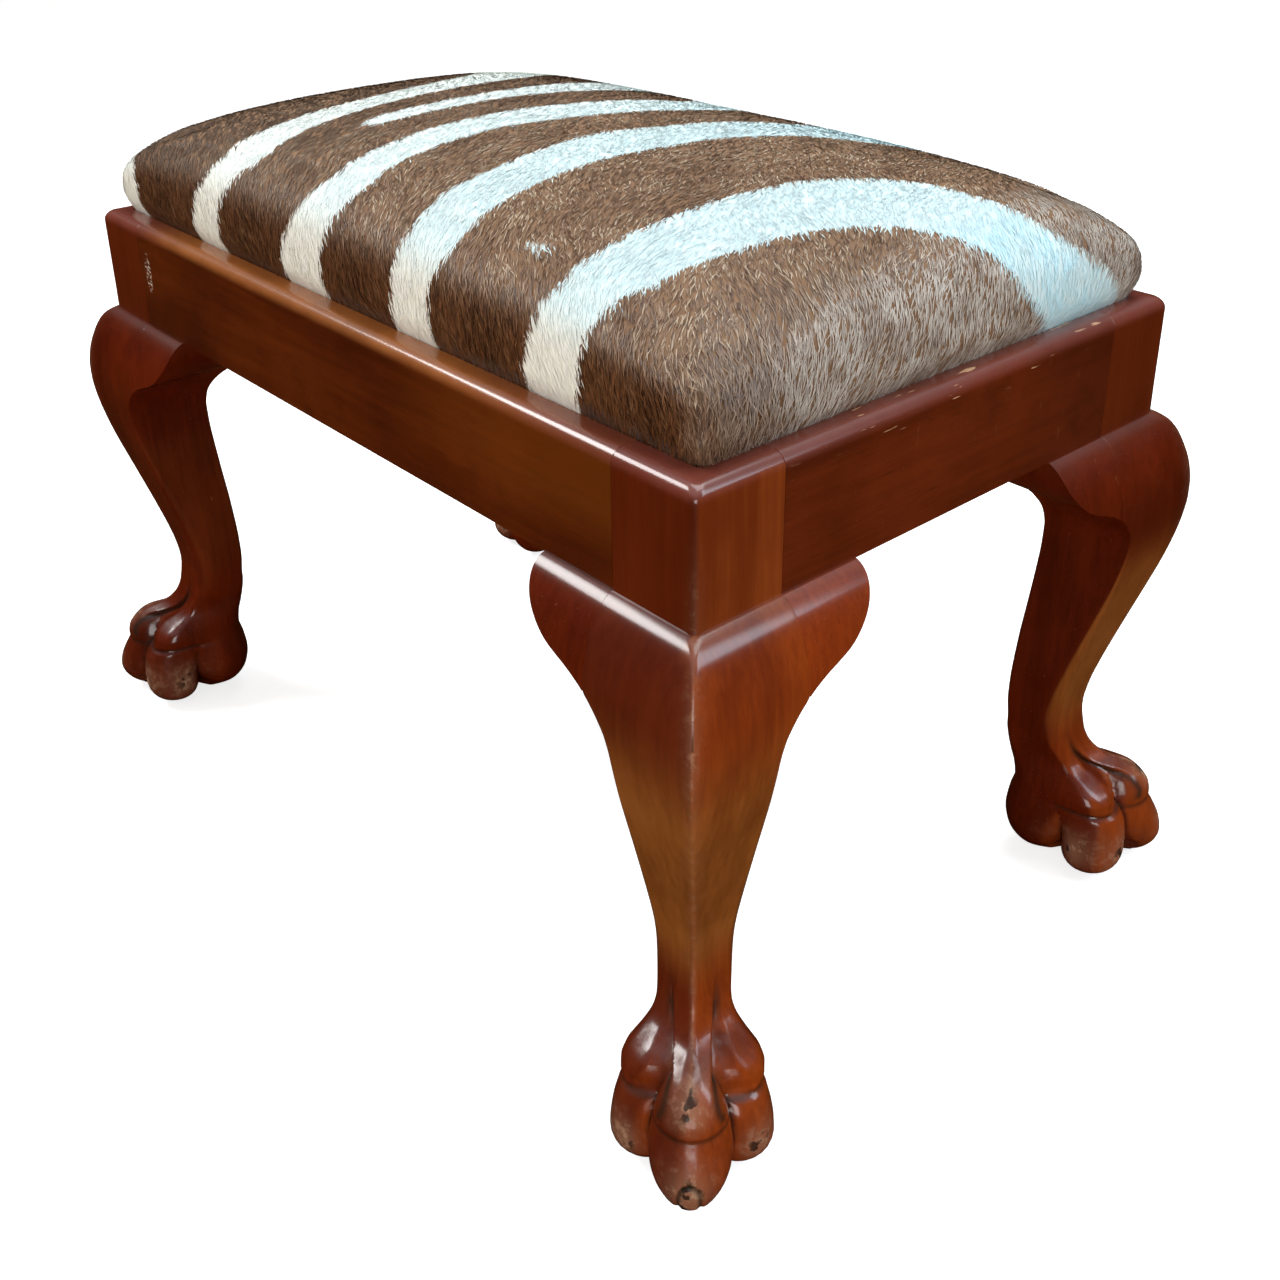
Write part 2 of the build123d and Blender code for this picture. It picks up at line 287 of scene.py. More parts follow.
def scuffed(wood, place, clouds):
    """Wood with flecks along the top of the right end and one pale scuff on the front rail."""
    x, _, z = place.parts()
    flecks = place.scaled((0.4, 0.08, 1)).noise(600, 2, 0.5).ramp(0.68, 0.72) * z.ramp(0.345, 0.356)
    wood = (flecks * clouds.ramp(0.4, 0.55) * x.ramp(0.2, 0.26)).mix(wood, "d0a27c")
    ends = {0: place.scaled(SCUFF_STRETCH), 1: SCUFF}
    away = place.add("ShaderNodeVectorMath", {"operation": "DISTANCE"}, ends, "Value")
    bare = place.scaled((0.5, 1, 1)).noise(560, 3, 0.7).ramp(0.52, 0.58)
    return (away.ramp(*SCUFF_REACH, 1, 0) * bare).mix(wood, "c9b7a8")


print("grain stretched along", sorted(ALONG))

# %% [markdown]
# ## Wear, dirt and painted light on the carving
# Ridges that shoes and hands rub are pale and dull, and hollows keep dark dirt. Light is painted in too:
# faces towards the right window, the shins that the floor lights and the right face of the near post are
# painted lighter, each leg by its own share and the near leg most. This could be painted on by brush. Here
# the carved legs keep dirt, wear and their share of painted light on their points, so the marks stay with the
# carving if it is changed.

# %% Wear, dirt and painted light on the carving
POST_FOOT = 0.285, 0.297
SHIN_LOW, SHIN_HIGH = (0.085, 0.125), (0.19, 0.26)


def carved_marks(place, wood, share, smudges, top_sheen_and_wear, top_sheen_and_wear_colour):
    """A carved leg's wood with painted light on its lit faces, shin and post, with its wear and dirt, the
    coat that is left, and added roughness and height.
    """
    x, _, z = place.parts()
    dirt, worn, fade = (attribute(place, key) for key in ("dirt", "worn", "fade"))
    # painted light: faces turned towards the right window take lighter tones than the others
    lit_side = place.add("ShaderNodeNewGeometry", out="Normal").parts()[0].ramp(0.3, 0.7)
    lit_wood = lit_side.mix(share.mix("4c1606", "64240a"), share.mix("682408", "943e0c"))
    # painted light: the shin is painted lighter and more orange, as the warm floor lights it
    shin = z.ramp(*SHIN_LOW) * z.ramp(*SHIN_HIGH, 1, 0) * 0.85
    lit_wood = shin.mix(lit_wood, share.mix("7c4214", "a4642c"))
    # how much painted light each point takes: the leg's own share, and more on its lit side below the knee
    lit_amount = (fade * 2 - 1 + lit_side * z.ramp(0.2, 0.255, 1, 0.2)).ramp(0, 1)
    wood = (lit_amount * z.ramp(*POST_FOOT, 1, 0.2)).mix(wood, lit_wood)
    # painted light: the right face of a post is lighter on the near leg, which the near window lights
    right_face = x.ramp(0.2785, 0.2797) * fade.ramp(0.3, 1)
    post = right_face.mix(share.mix("541a02", "622206"), share.mix("6e2a08", "984a1a"))
    # above the post's foot the wood takes the post's painted tones and the top edge's painted sheen and wear
    wood = z.ramp(*POST_FOOT, 0, 0.85).mix(wood, top_sheen_and_wear.mix(post, top_sheen_and_wear_colour))
    nicks = place.noise(210, 3, 0.6).ramp(0.48, 0.62)
    wood = (worn * (0.4 + nicks * 0.5)).mix(wood, "ad866c")
    chips = place.noise(150, 2, 0.5).ramp(0.53, 0.57) * worn.ramp(0.45, 0.9)
    wood = (chips * 0.85).mix(wood, "150b07")
    wood = (dirt * (0.5 + smudges * 0.6)).mix(wood, "1f1a10")
    coat_left = (z.ramp(0.085, 0.11) + smudges.ramp(0.35, 0.65)).ramp(0, 1, 0.1, 0.9)
    coat = (1 - worn * 0.7) * coat_left
    return wood, coat, dirt * 0.22 + worn * 0.15, nicks * worn * 0.8 - chips * 2


print("legs change from shin to post between", POST_FOOT, "m")

# %% [markdown]
# ## Mahogany finishes
# Legs, long rails and short rails are cut from different boards, so each has its own pair of tones. One ear,
# on the near leg's right side, gets lighter tones of the leg's wood as painted light. A single finish could
# serve them all, but then the joints between the pieces would hardly show.


# %% Mahogany finishes
def mahogany(name, grain, deep, light, carved=False):
    """Polished mahogany with its grain along x, y or z; a carved piece also has dirt, wear and painted light.
    """
    polish = {"coat_weight": 1.0, "coat_roughness": 0.17, "coat_ior": 1.5, "specular_ior_level": 0.1}
    made, shader, place = material(name, **polish)
    board = place.scaled(ALONG[grain])
    figure = board.noise(26, 5, 0.6, 0.4)
    fibre = board.noise(330, 3, 0.6)
    pores = board.noise(900, 2, 0.5).ramp(0.60, 0.72)
    clouds = place.noise(7, 4, 0.6)
    smudges = place.noise(38, 5, 0.65)
    share = (figure * 0.6 + fibre * 0.25 + clouds * 0.75).ramp(0.595, 0.995)
    wood = polished(share.mix(deep, light), place, pores, clouds, smudges)
    x, y, z = place.parts()
    if grain == "x":
        # painted light: the long rails are lighter and more orange towards their right ends, where the near
        # window lights them
        wood = (x.ramp(0.02, 0.2) * z.ramp(0.3, 0.34) * 0.4).mix(wood, "80400a")
    if grain == "y":
        # painted shade: the short rails are darker towards the back, away from the near window
        wood = (y.ramp(0.0, 0.12) * 0.45).mix(wood, "3c1004")
    # the top edge's painted sheen, with its wear
    top_sheen_and_wear, top_sheen_and_wear_colour = sheen_and_wear_top(place, smudges)
    wood = scuffed(top_sheen_and_wear.mix(wood, top_sheen_and_wear_colour), place, clouds)
    gloss = smudges * 0.2 + fibre * 0.06 + 0.25
    height = fibre * 0.35 - pores * 0.6
    if carved:
        wood, coat, dull, rough = carved_marks(place, wood, share, smudges, top_sheen_and_wear, top_sheen_and_wear_colour)
        feed(shader, coat_weight=coat)
        gloss = gloss + dull
        height = height + rough
    feed(shader, base_color=wood, roughness=gloss, normal=height.bump(0.25, 0.0003))
    return made


leg_wood = mahogany("mahogany_legs", "z", "481000", "6a2004", carved=True)
# painted light: lighter leg wood for the ear on the near leg's lit right side
lit_ear_wood = mahogany("mahogany_lit_ear", "z", "642006", "90380a")
long_rail_wood = mahogany("mahogany_long_rails", "x", "3e1000", "622604")
short_rail_wood = mahogany("mahogany_short_rails", "y", "4a1703", "6e280a")
finishes = [leg_wood, lit_ear_wood, long_rail_wood, short_rail_wood]
print("mahogany finishes", [finish.name for finish in finishes])

# %% [markdown]
# ## Cabriole leg with a paw foot
# On the real stool each leg is sawn from one square blank along the same curve on two faces,
# then the foot is carved as a lion's paw: a front toe, two side toes and a heel, with knuckles
# above them and hollows between the tendons. It could be sculpted by brush. Here the leg is a stack
# of rings, so that every size stays a number that can be changed. Above the ankle a ring is the
# sawn square with eased corners; below it, a ring is the outline round four lobes.

# %% Leg outline
OUTER = [(104, -11.05), (114, -10.3), (123, -8.9), (132, -7), (150, -2.5), (168, 2.4), (186, 7.4),
         (203, 12), (216, 15), (228, 17.2), (236.5, 18.3), (245, 18.9), (254, 18.8), (260, 18.2), (268, 16.8),
         (276, 14.5), (280, 13.1), (284, 11.5), (288.2, 9.3), (292, 6.5), (294.2, 4), (295.5, 1.95), (296, 1),
         (296.1, 0), (355, 0)]
INNER = [(104, -43), (120, -42.8), (149, -41.3), (177, -39), (196, -37.5), (214, -36.4), (225, -36.2),
         (235, -37.5), (243.5, -41.5), (251, -48), (254, -51), (370, -51)]
SIDE_EASE = [(104, 12.4), (131, 8.5), (160, 6), (203, 2.5), (240, 1), (253, 0.1), (292, 0.1), (297, 0.4),
             (370, 0.4)]
BACK_EASE = [(104, 5), (131, 4), (160, 3), (203, 1.5), (240, 1), (254, 0.4), (370, 0.4)]
FRONT_EASE = [(104, 3), (150, 2.2), (290, 2.4), (298, 4.5), (362, 4.5)]
ANKLE = 104.0
EASED_SHORT = 0.293
CORNER_STEPS, SIDE_STEPS = 13, 31
print("sawn leg from", ANKLE, "to", RAIL_TOP, "mm")


# %% Rings of the sawn leg
def sawn_ring(z):
    """The squared ring of the sawn leg at one height: offsets outwards from the frame's corner."""
    outer, inner = float(through(OUTER, z)), float(through(INNER, z))
    if z > RAIL_TOP - TOP_ARRIS:
        outer = math.sqrt(max(TOP_ARRIS**2 - (z - RAIL_TOP + TOP_ARRIS) ** 2, 0)) - TOP_ARRIS
    front, side, rear = (float(through(pairs, z)) for pairs in (FRONT_EASE, SIDE_EASE, BACK_EASE))
    inner -= rear * EASED_SHORT * (inner > -POST)
    ease = [front, side, rear, side]
    corners = [(outer, outer), (inner, outer), (inner, inner), (outer, inner)]
    ways = [(1, 1), (-1, 1), (-1, -1), (1, -1)]
    ring = []
    for i, ((p, q), (wp, wq), r) in enumerate(zip(corners, ways, ease)):
        centre = np.array([p - wp * r, q - wq * r])
        turn = np.linspace(0, math.pi / 2, CORNER_STEPS) + i * math.pi / 2
        ring.append(centre + r * np.stack([np.cos(turn), np.sin(turn)], 1))
    whole = []
    for i, arc in enumerate(ring):
        ahead = ring[(i + 1) % 4][0]
        share = np.linspace(0, 1, SIDE_STEPS + 2)[1:-1, None]
        whole += [arc, arc[-1] + (ahead - arc[-1]) * share]
    return np.concatenate(whole)


def notched(ring):
    """The ring above the seat's ledge: the inside corner is cut away for the seat."""
    p, q = ring.T.copy()
    cut = (p < -RIM) & (q < -RIM)
    along_p = cut & (q <= p)
    along_q = cut & ~along_p
    cut_p = np.where(along_p, -RIM, np.where(along_q, -POST - RIM - q, p))
    cut_q = np.where(along_p, -POST - RIM - p, np.where(along_q, -RIM, q))
    return np.stack([cut_p, cut_q], 1)


print("columns round a leg", len(sawn_ring(150)))

# %% [markdown]
# ## The paw
# Each lobe of the paw is a stack of circles: how far its tip reaches and how wide it is at each
# height. Tips follow the outline seen from the side: a flat worn knuckle, a notch below it, then the
# round toe with a claw cut into its face. Hollows run down between the tendons, and dirt has gathered
# in the grooves. Round lobes were chosen because their outline can be worked out by a formula.

# %% Lines of the paw
FRONT_TIP = [(0, 27), (4, 33), (8, 36.7), (13, 39.4), (18, 40.3), (23, 39.6), (28, 37.9), (34, 34.9),
             (40, 31.4), (43.5, 29.3), (46, 30.2), (51, 29.4), (55, 27), (59, 23.5), (63, 18.6), (66, 12.5),
             (68.5, 5), (71, 0), (76, -6), (80, -9.3), (88, -13.2), (95, -15.4), (104, -16.9)]
FRONT_WIDE = [(0, 4), (4, 7.5), (8, 11), (13, 14.5), (18, 17.5), (24, 19.5), (30, 20), (38, 19), (44, 17.8),
              (50, 16.5), (55, 14.5), (60, 11.5), (64, 7.5), (68, 4), (72, 2.8), (84, 2.6), (104, 3)]
SIDE_TIP = [(0, 19), (2, 27), (4, 32), (8, 37), (12, 39.2), (16, 39.9), (22, 39.7), (28, 39), (35, 37.8),
            (40, 36.6), (44, 35.2), (46.5, 33.2), (49, 34.6), (53, 34.6), (56, 33.6), (59, 31.9),
            (61.5, 29.5), (64, 26.6), (66.5, 23.6), (69, 21.2), (72, 19.4), (75, 18.4), (80, 18),
            (90, 18.2), (104, 18.5)]
SIDE_WIDE = [(0, 3), (2, 8), (4, 11.5), (8, 15), (14, 17.5), (20, 18), (28, 18), (36, 17), (44, 15.5),
             (50, 14), (56, 11), (62, 7), (68, 5.5), (76, 6), (84, 8), (94, 10.5), (104, 12.4)]
SIDE_PLACE = [(0, -7), (10, -6), (20, -5), (38, -5), (44, -6.5), (50, -10), (57, -13), (62, -16.5), (68, -23),
              (76, -29), (84, -34), (94, -38), (104, -39.2)]
HEEL_TIP = [(0, -30), (4, -39), (8, -45.7), (18, -52.3), (28, -54.2), (40, -52.9), (50, -50.8), (61, -52.3),
            (71, -55.2), (81, -57.8), (91, -59.5), (104, -60.8)]
HEEL_WIDE = [(0, 5), (4, 9), (8, 13), (13, 17), (18, 19.5), (24, 21.2), (30, 21.5), (40, 20), (50, 17),
             (61, 13), (71, 9), (81, 6.5), (104, 5)]
MIDDLE = [(0, -7), (46, -7), (56, -11), (66, -18), (76, -25), (86, -32), (104, -39.2)]
FLUTE_DEEP = [(44, 8), (47, 9.5), (52, 11), (57, 10.5), (61, 9), (65, 7), (69, 5), (74, 3.1), (80, 1.5),
              (88, 0.5), (97, 0), (104, 0)]
FLUTE_EDGE = [(44, 16.4), (49, 14.8), (54, 12.5), (61, 10.9), (70, 10.6), (104, 10.6)]
FLUTE_CREST = [(44, 31.5), (47, 31), (52, 29), (60, 22.8), (68, 16), (75, 12.6), (84, 11.6), (104, 11.6)]
PAW_LINES = (FRONT_TIP, FRONT_WIDE, SIDE_TIP, SIDE_WIDE, SIDE_PLACE, HEEL_TIP, HEEL_WIDE, MIDDLE,
             FLUTE_DEEP, FLUTE_EDGE, FLUTE_CREST)
CREASE, FRONT_CREASE, CREASE_WIDE = 46.5, 43.5, 1.3
LOBE_BLEND, VALLEY_WIDE, VALLEY_DEEP = 0.7, 2.4, 1.3
TOES_END, HEEL_END = (45.5, 49.5), (16, 51)
CLAW_HALF, CLAW_ROOT, CLAW_TAPER, CLAW_FACE = 5.2, 18.0, 0.75, 20.0
CLAW_DEEP, CLAW_GROOVE = 1.1, 1.1
SWEEP = np.linspace(0, 2 * math.pi, 360, endpoint=False)
print("lines of the paw", len(PAW_LINES))


# %% Soft steps and lobes
def eased(value, low, high):
    """From 0 at low to 1 at high, with soft ends."""
    t = np.clip((value - low) / (high - low), 0, 1)
    return t * t * (3 - 2 * t)


def bell(value, wide):
    """A soft hump: 1 at zero, falling away on both sides over a width."""
    return np.exp(-((value / wide) ** 2))


def leaves(at, side, wide, turn):
    """How far a ray from the middle goes before it leaves a round lobe."""
    ahead = at * np.cos(turn) + side * np.sin(turn)
    inside = ahead**2 - at**2 - side**2 + wide**2
    return np.where(inside > 0, ahead + np.sqrt(np.maximum(inside, 0)), 0)


def turn_between(turn, place, side):
    """1 on the two faces between the front toe and the side toes, 0 behind the side toes."""
    return (np.abs(np.arctan2(np.sin(turn), np.cos(turn))) < math.atan2(side, place)).astype(float)


print("halfway up a soft step:", eased(0.5, 0, 1), "and on top of a bell:", bell(0, 1))


# %% Rings of the paw
def paw_ring(z, turn):
    """Middle of a foot ring, distances from it along each turn, and the dirt there."""
    front, front_r, side, side_r, place, heel, heel_r, middle, deep, edge, crest = (
        float(through(line, z)) for line in PAW_LINES
    )
    lobes = [(front - front_r - middle, 0, front_r), (place - middle, side - side_r, side_r),
             (place - middle, side_r - side, side_r), (heel + heel_r - middle, 0, heel_r)]
    each = np.array([leaves(*lobe, turn) for lobe in lobes])
    rays = np.sort(each, axis=0)
    toes = rays[-1] + LOBE_BLEND * np.log1p(np.exp((rays[-2] - rays[-1]) / LOBE_BLEND))
    valley = bell(rays[-1] - rays[-2], VALLEY_WIDE)
    support = np.max([x * np.cos(SWEEP) + y * np.sin(SWEEP) + r for x, y, r in lobes], axis=0)
    leaning = np.cos(SWEEP[None, :] - turn[:, None])
    hull = np.min(np.where(leaning > 0.05, support / np.maximum(leaning, 0.05), 1e9), axis=1)
    ahead = turn_between(turn, place - middle, side)
    across = hull * np.abs(np.sin(turn))
    falling = 1 - np.clip((across - edge) / (crest - edge), 0, 1) ** 3
    flute = eased(across, edge - 1.6, edge + 0.6) * falling * ahead
    tendons = np.maximum(hull - deep * flute, each[0] * ahead)
    high = np.where(ahead > 0, eased(z, *TOES_END), eased(z, *HEEL_END))
    reach = (1 - high) * (toes - VALLEY_DEEP * valley) + high * tendons
    wall = ahead * bell(across - edge - 0.5, 1.6) * min(deep / 2, 1)
    crease = np.where(each[0] >= rays[-1], FRONT_CREASE, CREASE)
    crease = bell(z - crease, CREASE_WIDE) * (each[3] < rays[-1])
    return middle, reach, np.clip((1 - high) * valley + high * wall + 0.7 * crease, 0, 1)


def claw(z, forward, sideways):
    """The groove round the front toe's claw, and the claw's own face."""
    off = np.hypot(sideways, max(z - CLAW_ROOT, 0) * CLAW_TAPER) - CLAW_HALF
    ahead = forward > CLAW_FACE
    return bell(off, CLAW_GROOVE) * ahead, (off < 0) * ahead


print("paw lobes: front toe, two side toes, heel")

# %% [markdown]
# ## The leg's mesh
# The rings are joined from the floor up by strips of faces into one closed skin, and each point
# keeps how dirty and how worn it is. Round the ankle the rings are averaged with their neighbours, so
# that the paw flows into the shin as a carver leaves it. The four legs could each be carved anew; one
# set of rings, mirrored to the corners, keeps them alike.

# %% Foot and shin with their wear
DIAGONAL = 0.70711
ANKLE_BLEND = 14.0
KNUCKLE, TOE_TIPS, SIDE_TOES, KNEE, POST_LOW = 57, 21, 32, 258, 300


def foot_wear(z, sideways, ahead, face):
    """Wear on a ring of the foot: the knuckle's flat, its ridge, the claw and the tips of the toes."""
    knuckle = bell(z - KNUCKLE, 7) * bell(sideways, 8) * ahead
    ridge = bell(sideways, 1.3) * ahead * eased(z, 56, 64) * 0.4
    tips = bell(sideways, 10) * ahead + bell(np.abs(sideways) - SIDE_TOES, 7)
    return np.clip(knuckle + ridge + 0.5 * face + tips * bell(z - TOE_TIPS, 11), 0, 1)


def foot_ring(z, turn, ankle_reach):
    """One ring of the foot with its dirt and wear; towards the ankle it goes over to the sawn leg."""
    middle, reach, valley = paw_ring(z, turn)
    groove, face = claw(z, middle + reach * np.cos(turn), reach * np.sin(turn))
    reach = reach - CLAW_DEEP * groove
    reach = reach + (ankle_reach - reach) * eased(z, ANKLE - ANKLE_BLEND, ANKLE)
    forward, sideways = middle + reach * np.cos(turn), reach * np.sin(turn)
    ring = np.stack([forward + sideways, forward - sideways], 1) * DIAGONAL
    return ring, np.clip(valley + groove, 0, 1), foot_wear(z, sideways, np.cos(turn) > 0, face)


def shin_wear(z, ring):
    """Wear along the leg's front edge, strongest on the knee and gone at the seat's ledge."""
    ahead = ring.sum(1) > ring.sum(1).mean()
    near = np.exp(-np.abs(ring[:, 0] - ring[:, 1]) / 2.5) * ahead
    scraped = 0.3 + 0.5 * bell(z - KNEE, 22)
    return near * scraped * (1 - eased(z, POST_LOW, LEDGE))


print("wear is strongest at", KNUCKLE, "mm on the foot and at", KNEE, "mm on the knee")

# %% Rings of a leg
FLOW_BELOW, FLOW_ABOVE, FLOW_SPAN = 18, 22, 7


def at_height(ring, z):
    """A flat ring as points at one height."""
    return np.column_stack([ring, np.full(len(ring), z)])


def leg_rings():
    """All rings of one leg, from the floor up, with dirt and wear on each point."""
    foot = [np.linspace(0, 6, 10), np.arange(7, ANKLE, 0.9)]
    shin = [np.arange(ANKLE, 128, 2), np.arange(128, 200, 4), np.arange(202, 282, 2.5)]
    top = [np.linspace(282, 295.5, 17), [296, 296.1, 310, 330, LEDGE]]
    ankle = sawn_ring(ANKLE)
    forward, sideways = ankle.sum(1) * DIAGONAL, (ankle[:, 0] - ankle[:, 1]) * DIAGONAL
    forward = forward - MIDDLE[-1][1]
    turn, ankle_reach = np.arctan2(sideways, forward), np.hypot(sideways, forward)
    clean = np.zeros(len(ankle))
    layers = []
    for z in np.concatenate(foot):
        ring, dirt, worn = foot_ring(z, turn, ankle_reach)
        layers.append((at_height(ring, z), dirt, worn))
    for z in np.concatenate(shin + top):
        ring = sawn_ring(z)
        layers.append((at_height(ring, z), clean, shin_wear(z, ring)))
    for z in [LEDGE, *np.linspace(RAIL_TOP - TOP_ARRIS, RAIL_TOP, 9)]:
        layers.append((at_height(notched(sawn_ring(z)), z), clean, clean))
    return [np.array(layer) for layer in zip(*layers)]


def flowing(points, low, high, span):
    """Rings between two heights averaged with their neighbours, so that the foot flows into the shin."""
    heights = points[:, 0, 2]
    made = points.copy()
    for row in np.flatnonzero((heights > low) & (heights < high)):
        weight = bell(heights - heights[row], span) * np.gradient(heights)
        mean = np.tensordot(weight, points[..., :2], 1) / weight.sum()
        share = eased(heights[row], low, low + span) * eased(-heights[row], -high, span - high)
        made[row, :, :2] += (mean - points[row, :, :2]) * share
    return made


rings, ring_dirt, ring_wear = leg_rings()
rings = flowing(rings, ANKLE - FLOW_BELOW, ANKLE + FLOW_ABOVE, FLOW_SPAN)
print("rings of a leg", len(rings), "with", rings.shape[1], "points each")

# %% Leg mesh
# painted light: each leg's share of lighter tones, most on the near leg, which the windows light most
PAINTED_LIGHT_BY_LEG = {"front_left": 0.1, "front_right": 1.0, "back_left": 0.2, "back_right": 0.4}
SHARP = math.radians(40)


def carve_leg(corner, way, rings, dirt, worn, fade):
    """The leg of one corner, turned so that its knee points out over that corner."""
    count, columns = rings.shape[:2]
    points = rings.reshape(-1, 3).copy()
    points[:, 0] = way[0] * (HALF_LENGTH + points[:, 0])
    points[:, 1] = way[1] * (HALF_DEPTH + points[:, 1])
    lower = (np.arange(count - 1)[:, None] * columns + np.arange(columns)).ravel()
    after = (np.arange(count - 1)[:, None] * columns + (np.arange(columns) + 1) % columns).ravel()
    faces = np.stack([lower, after, after + columns, lower + columns], 1).tolist()
    faces += [list(range(columns))[::-1], list(range((count - 1) * columns, count * columns))]
    if way[0] * way[1] < 0:
        faces = [face[::-1] for face in faces]
    # dirt and wear, and the leg's share of painted light, kept on its points
    marks = {"dirt": dirt, "worn": worn, "fade": np.full(dirt.shape, fade)}
    leg = mesh_object("carved_leg_" + corner, points, faces, marks)
    leg.data.set_sharp_from_angle(angle=SHARP)
    leg.data.materials.append(leg_wood)
    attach(leg, "frame")
    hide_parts("leg_" + corner)
    return leg


legs = [carve_leg(corner, way, rings, ring_dirt, ring_wear, PAINTED_LIGHT_BY_LEG[corner]) for corner, way in CORNERS.items()]
print("legs", len(legs), "each of", len(legs[0].data.polygons), "faces")

# %% [markdown]
# ## Rails, ears and blocks
# These are plain sawn and planed pieces. They could be modelled again here, but their CAD shapes are
# already right, so those are shown as they are. On the hidden pieces of pale wood a small bevel
# eases the edges, as a plane would.

# %% Rails, ears and blocks
WELD_GAP = 0.00001
BEVEL_ANGLE = math.radians(50)


def dress(names, finish, ease=0.0):
    """Gives CAD nodes a finish and, where asked, eased edges."""
    for name in names:
        node = nodes[name]
        node.data.materials.clear()
        node.data.materials.append(finish)
        if ease:
            weld = node.modifiers.new("weld", "WELD")
            weld.merge_threshold = WELD_GAP
            bevel = node.modifiers.new("ease", "BEVEL")
            bevel.width = ease * MM
            bevel.segments = 2
            bevel.limit_method = "ANGLE"
            bevel.angle_limit = BEVEL_ANGLE
            bevel.harden_normals = True
    return len(names)


corner_names = list(CORNERS)
made = dress(["front_rail", "back_rail"], long_rail_wood)
made += dress(["left_rail", "right_rail"], short_rail_wood)
made += dress(["knee_block_long_" + c for c in corner_names], leg_wood)
made += dress(["knee_block_short_" + c for c in corner_names], leg_wood)
# painted light: the near leg's right ear, on the side the windows light, gets the lighter leg wood
dress(["knee_block_short_front_right"], lit_ear_wood)
print("dressed", made, "wooden pieces")

# %% [markdown]
# ## Pale wood and steel
# The seat frame and the corner blocks are unpolished pale hardwood, and tacks and screws are blued
# steel with a little rust. All of them are hidden in use, so plain noise is enough for both.

# %% Pale wood and steel
HIDDEN_EASE = 0.8


def hardwood(name):
    """Unpolished pale hardwood of the hidden pieces."""
    made, shader, place = material(name, ior=1.45)
    grain = place.scaled((0.3, 0.3, 1)).noise(120, 5, 0.6)
    blotch = place.noise(18, 3, 0.5)
    wood = (grain * 0.7 + blotch * 0.4).ramp(0.35, 0.8).mix("9a7448", "cfae7c")
    feed(shader, base_color=wood, roughness=grain * 0.2 + 0.55, normal=grain.bump(0.3, 0.0003))
    return made


def steel(name):
    """Blued steel of tacks and screws, with a little rust."""
    made, shader, place = material(name, metallic=1.0)
    rust = place.noise(420, 4, 0.6)
    metal = rust.ramp(0.5, 0.7).mix("5d6066", "6b4630")
    feed(shader, base_color=metal, roughness=rust * 0.35 + 0.25)
    return made


pale_wood, blued_steel = hardwood("pale_hardwood"), steel("blued_steel")
members = ["seat_frame_" + side for side in ("front", "back", "left", "right")]
made = dress(members, pale_wood, HIDDEN_EASE)
made += dress(["corner_block_" + c for c in corner_names], pale_wood, HIDDEN_EASE)
made += dress(["corner_block_screws", "webbing_tacks", "cover_tacks", "dust_cover_tacks"], blued_steel)
print("dressed", made, "hidden pieces")

# %% [markdown]
# ## The crown of the seat
# The loose seat is stuffed to a soft crown. A flat bag blown up would give one too; here its height
# comes from two curves, one along and one across, each like a squared-off arch, because they can be
# set to the real outline. They are joined so that the corners fill out a little. The same grid gives
# the hide its flat measure: how far along and across the skin a point lies from the middle.

# %% Crown of the seat
CROWN = 72.8
CROWN_HALF = 271.3, 160.5
CROWN_POWERS = (3.25, 4.35), (2.34, 4.57)
FOOT_TUCK, TUCK_HEIGHT = 4.6, 15.0
CORNER_EASE = 9.0
CORNER_FILL = 1.3
ARCH_STEPS = 8001
COARSE = 124, 82


def arch(half, powers, steps):
    """Evenly spaced points along one arch from the middle to the rim: share out, share up, length."""
    s = np.linspace(0, 1, ARCH_STEPS)
    out, up = s ** (1 / powers[0]), np.maximum(1 - s, 1e-12) ** (1 / powers[1])
    length = np.concatenate([[0], np.cumsum(np.hypot(np.diff(out * half), np.diff(up * CROWN)))])
    even = np.linspace(0, length[-1], steps)
    return [np.interp(even, length, v) for v in (out, up, length)]


def eased_corner(x, y, tuck):
    """Rounds the plan's corners by squeezing each corner square into a quarter circle."""
    out_x = np.abs(x) - (CROWN_HALF[0] - tuck - CORNER_EASE)
    out_y = np.abs(y) - (CROWN_HALF[1] - tuck - CORNER_EASE)
    corner = (out_x > 0) & (out_y > 0)
    far = np.maximum(np.hypot(out_x, out_y), 1e-6)
    squeeze = np.where(corner, np.maximum(out_x, out_y) / far, 1)
    new_x = np.sign(x) * (np.abs(x) - np.where(corner, out_x * (1 - squeeze), 0))
    new_y = np.sign(y) * (np.abs(y) - np.where(corner, out_y * (1 - squeeze), 0))
    return new_x, new_y


def crown_grid(cells):
    """A grid over the crown: points in millimetres and flat places on the skin."""
    sides = []
    for half, powers, count in zip(CROWN_HALF, CROWN_POWERS, cells):
        out, up, length = arch(half, powers, count // 2 + 1)
        way = np.repeat([-1.0, 1.0], [count // 2, count // 2 + 1])
        fold = np.abs(np.arange(count + 1) - count // 2)
        sides.append((way * out[fold], up[fold], way * length[fold]))
    (along, up_x, flat_x), (across, up_y, flat_y) = sides
    fuller = up_x[:, None] ** -CORNER_FILL + up_y[None, :] ** -CORNER_FILL - 1
    rise = CROWN * np.maximum(fuller, 1) ** (-1 / CORNER_FILL)
    tuck = FOOT_TUCK * np.clip(1 - rise / TUCK_HEIGHT, 0, 1) ** 2
    x = along[:, None] * (CROWN_HALF[0] - tuck)
    y = across[None, :] * (CROWN_HALF[1] - tuck)
    x, y = eased_corner(x, y, tuck)
    points = np.stack([x, y, RAIL_TOP + rise], -1)
    flat = np.stack(np.meshgrid(flat_x, flat_y, indexing="ij"), -1)
    return points, flat


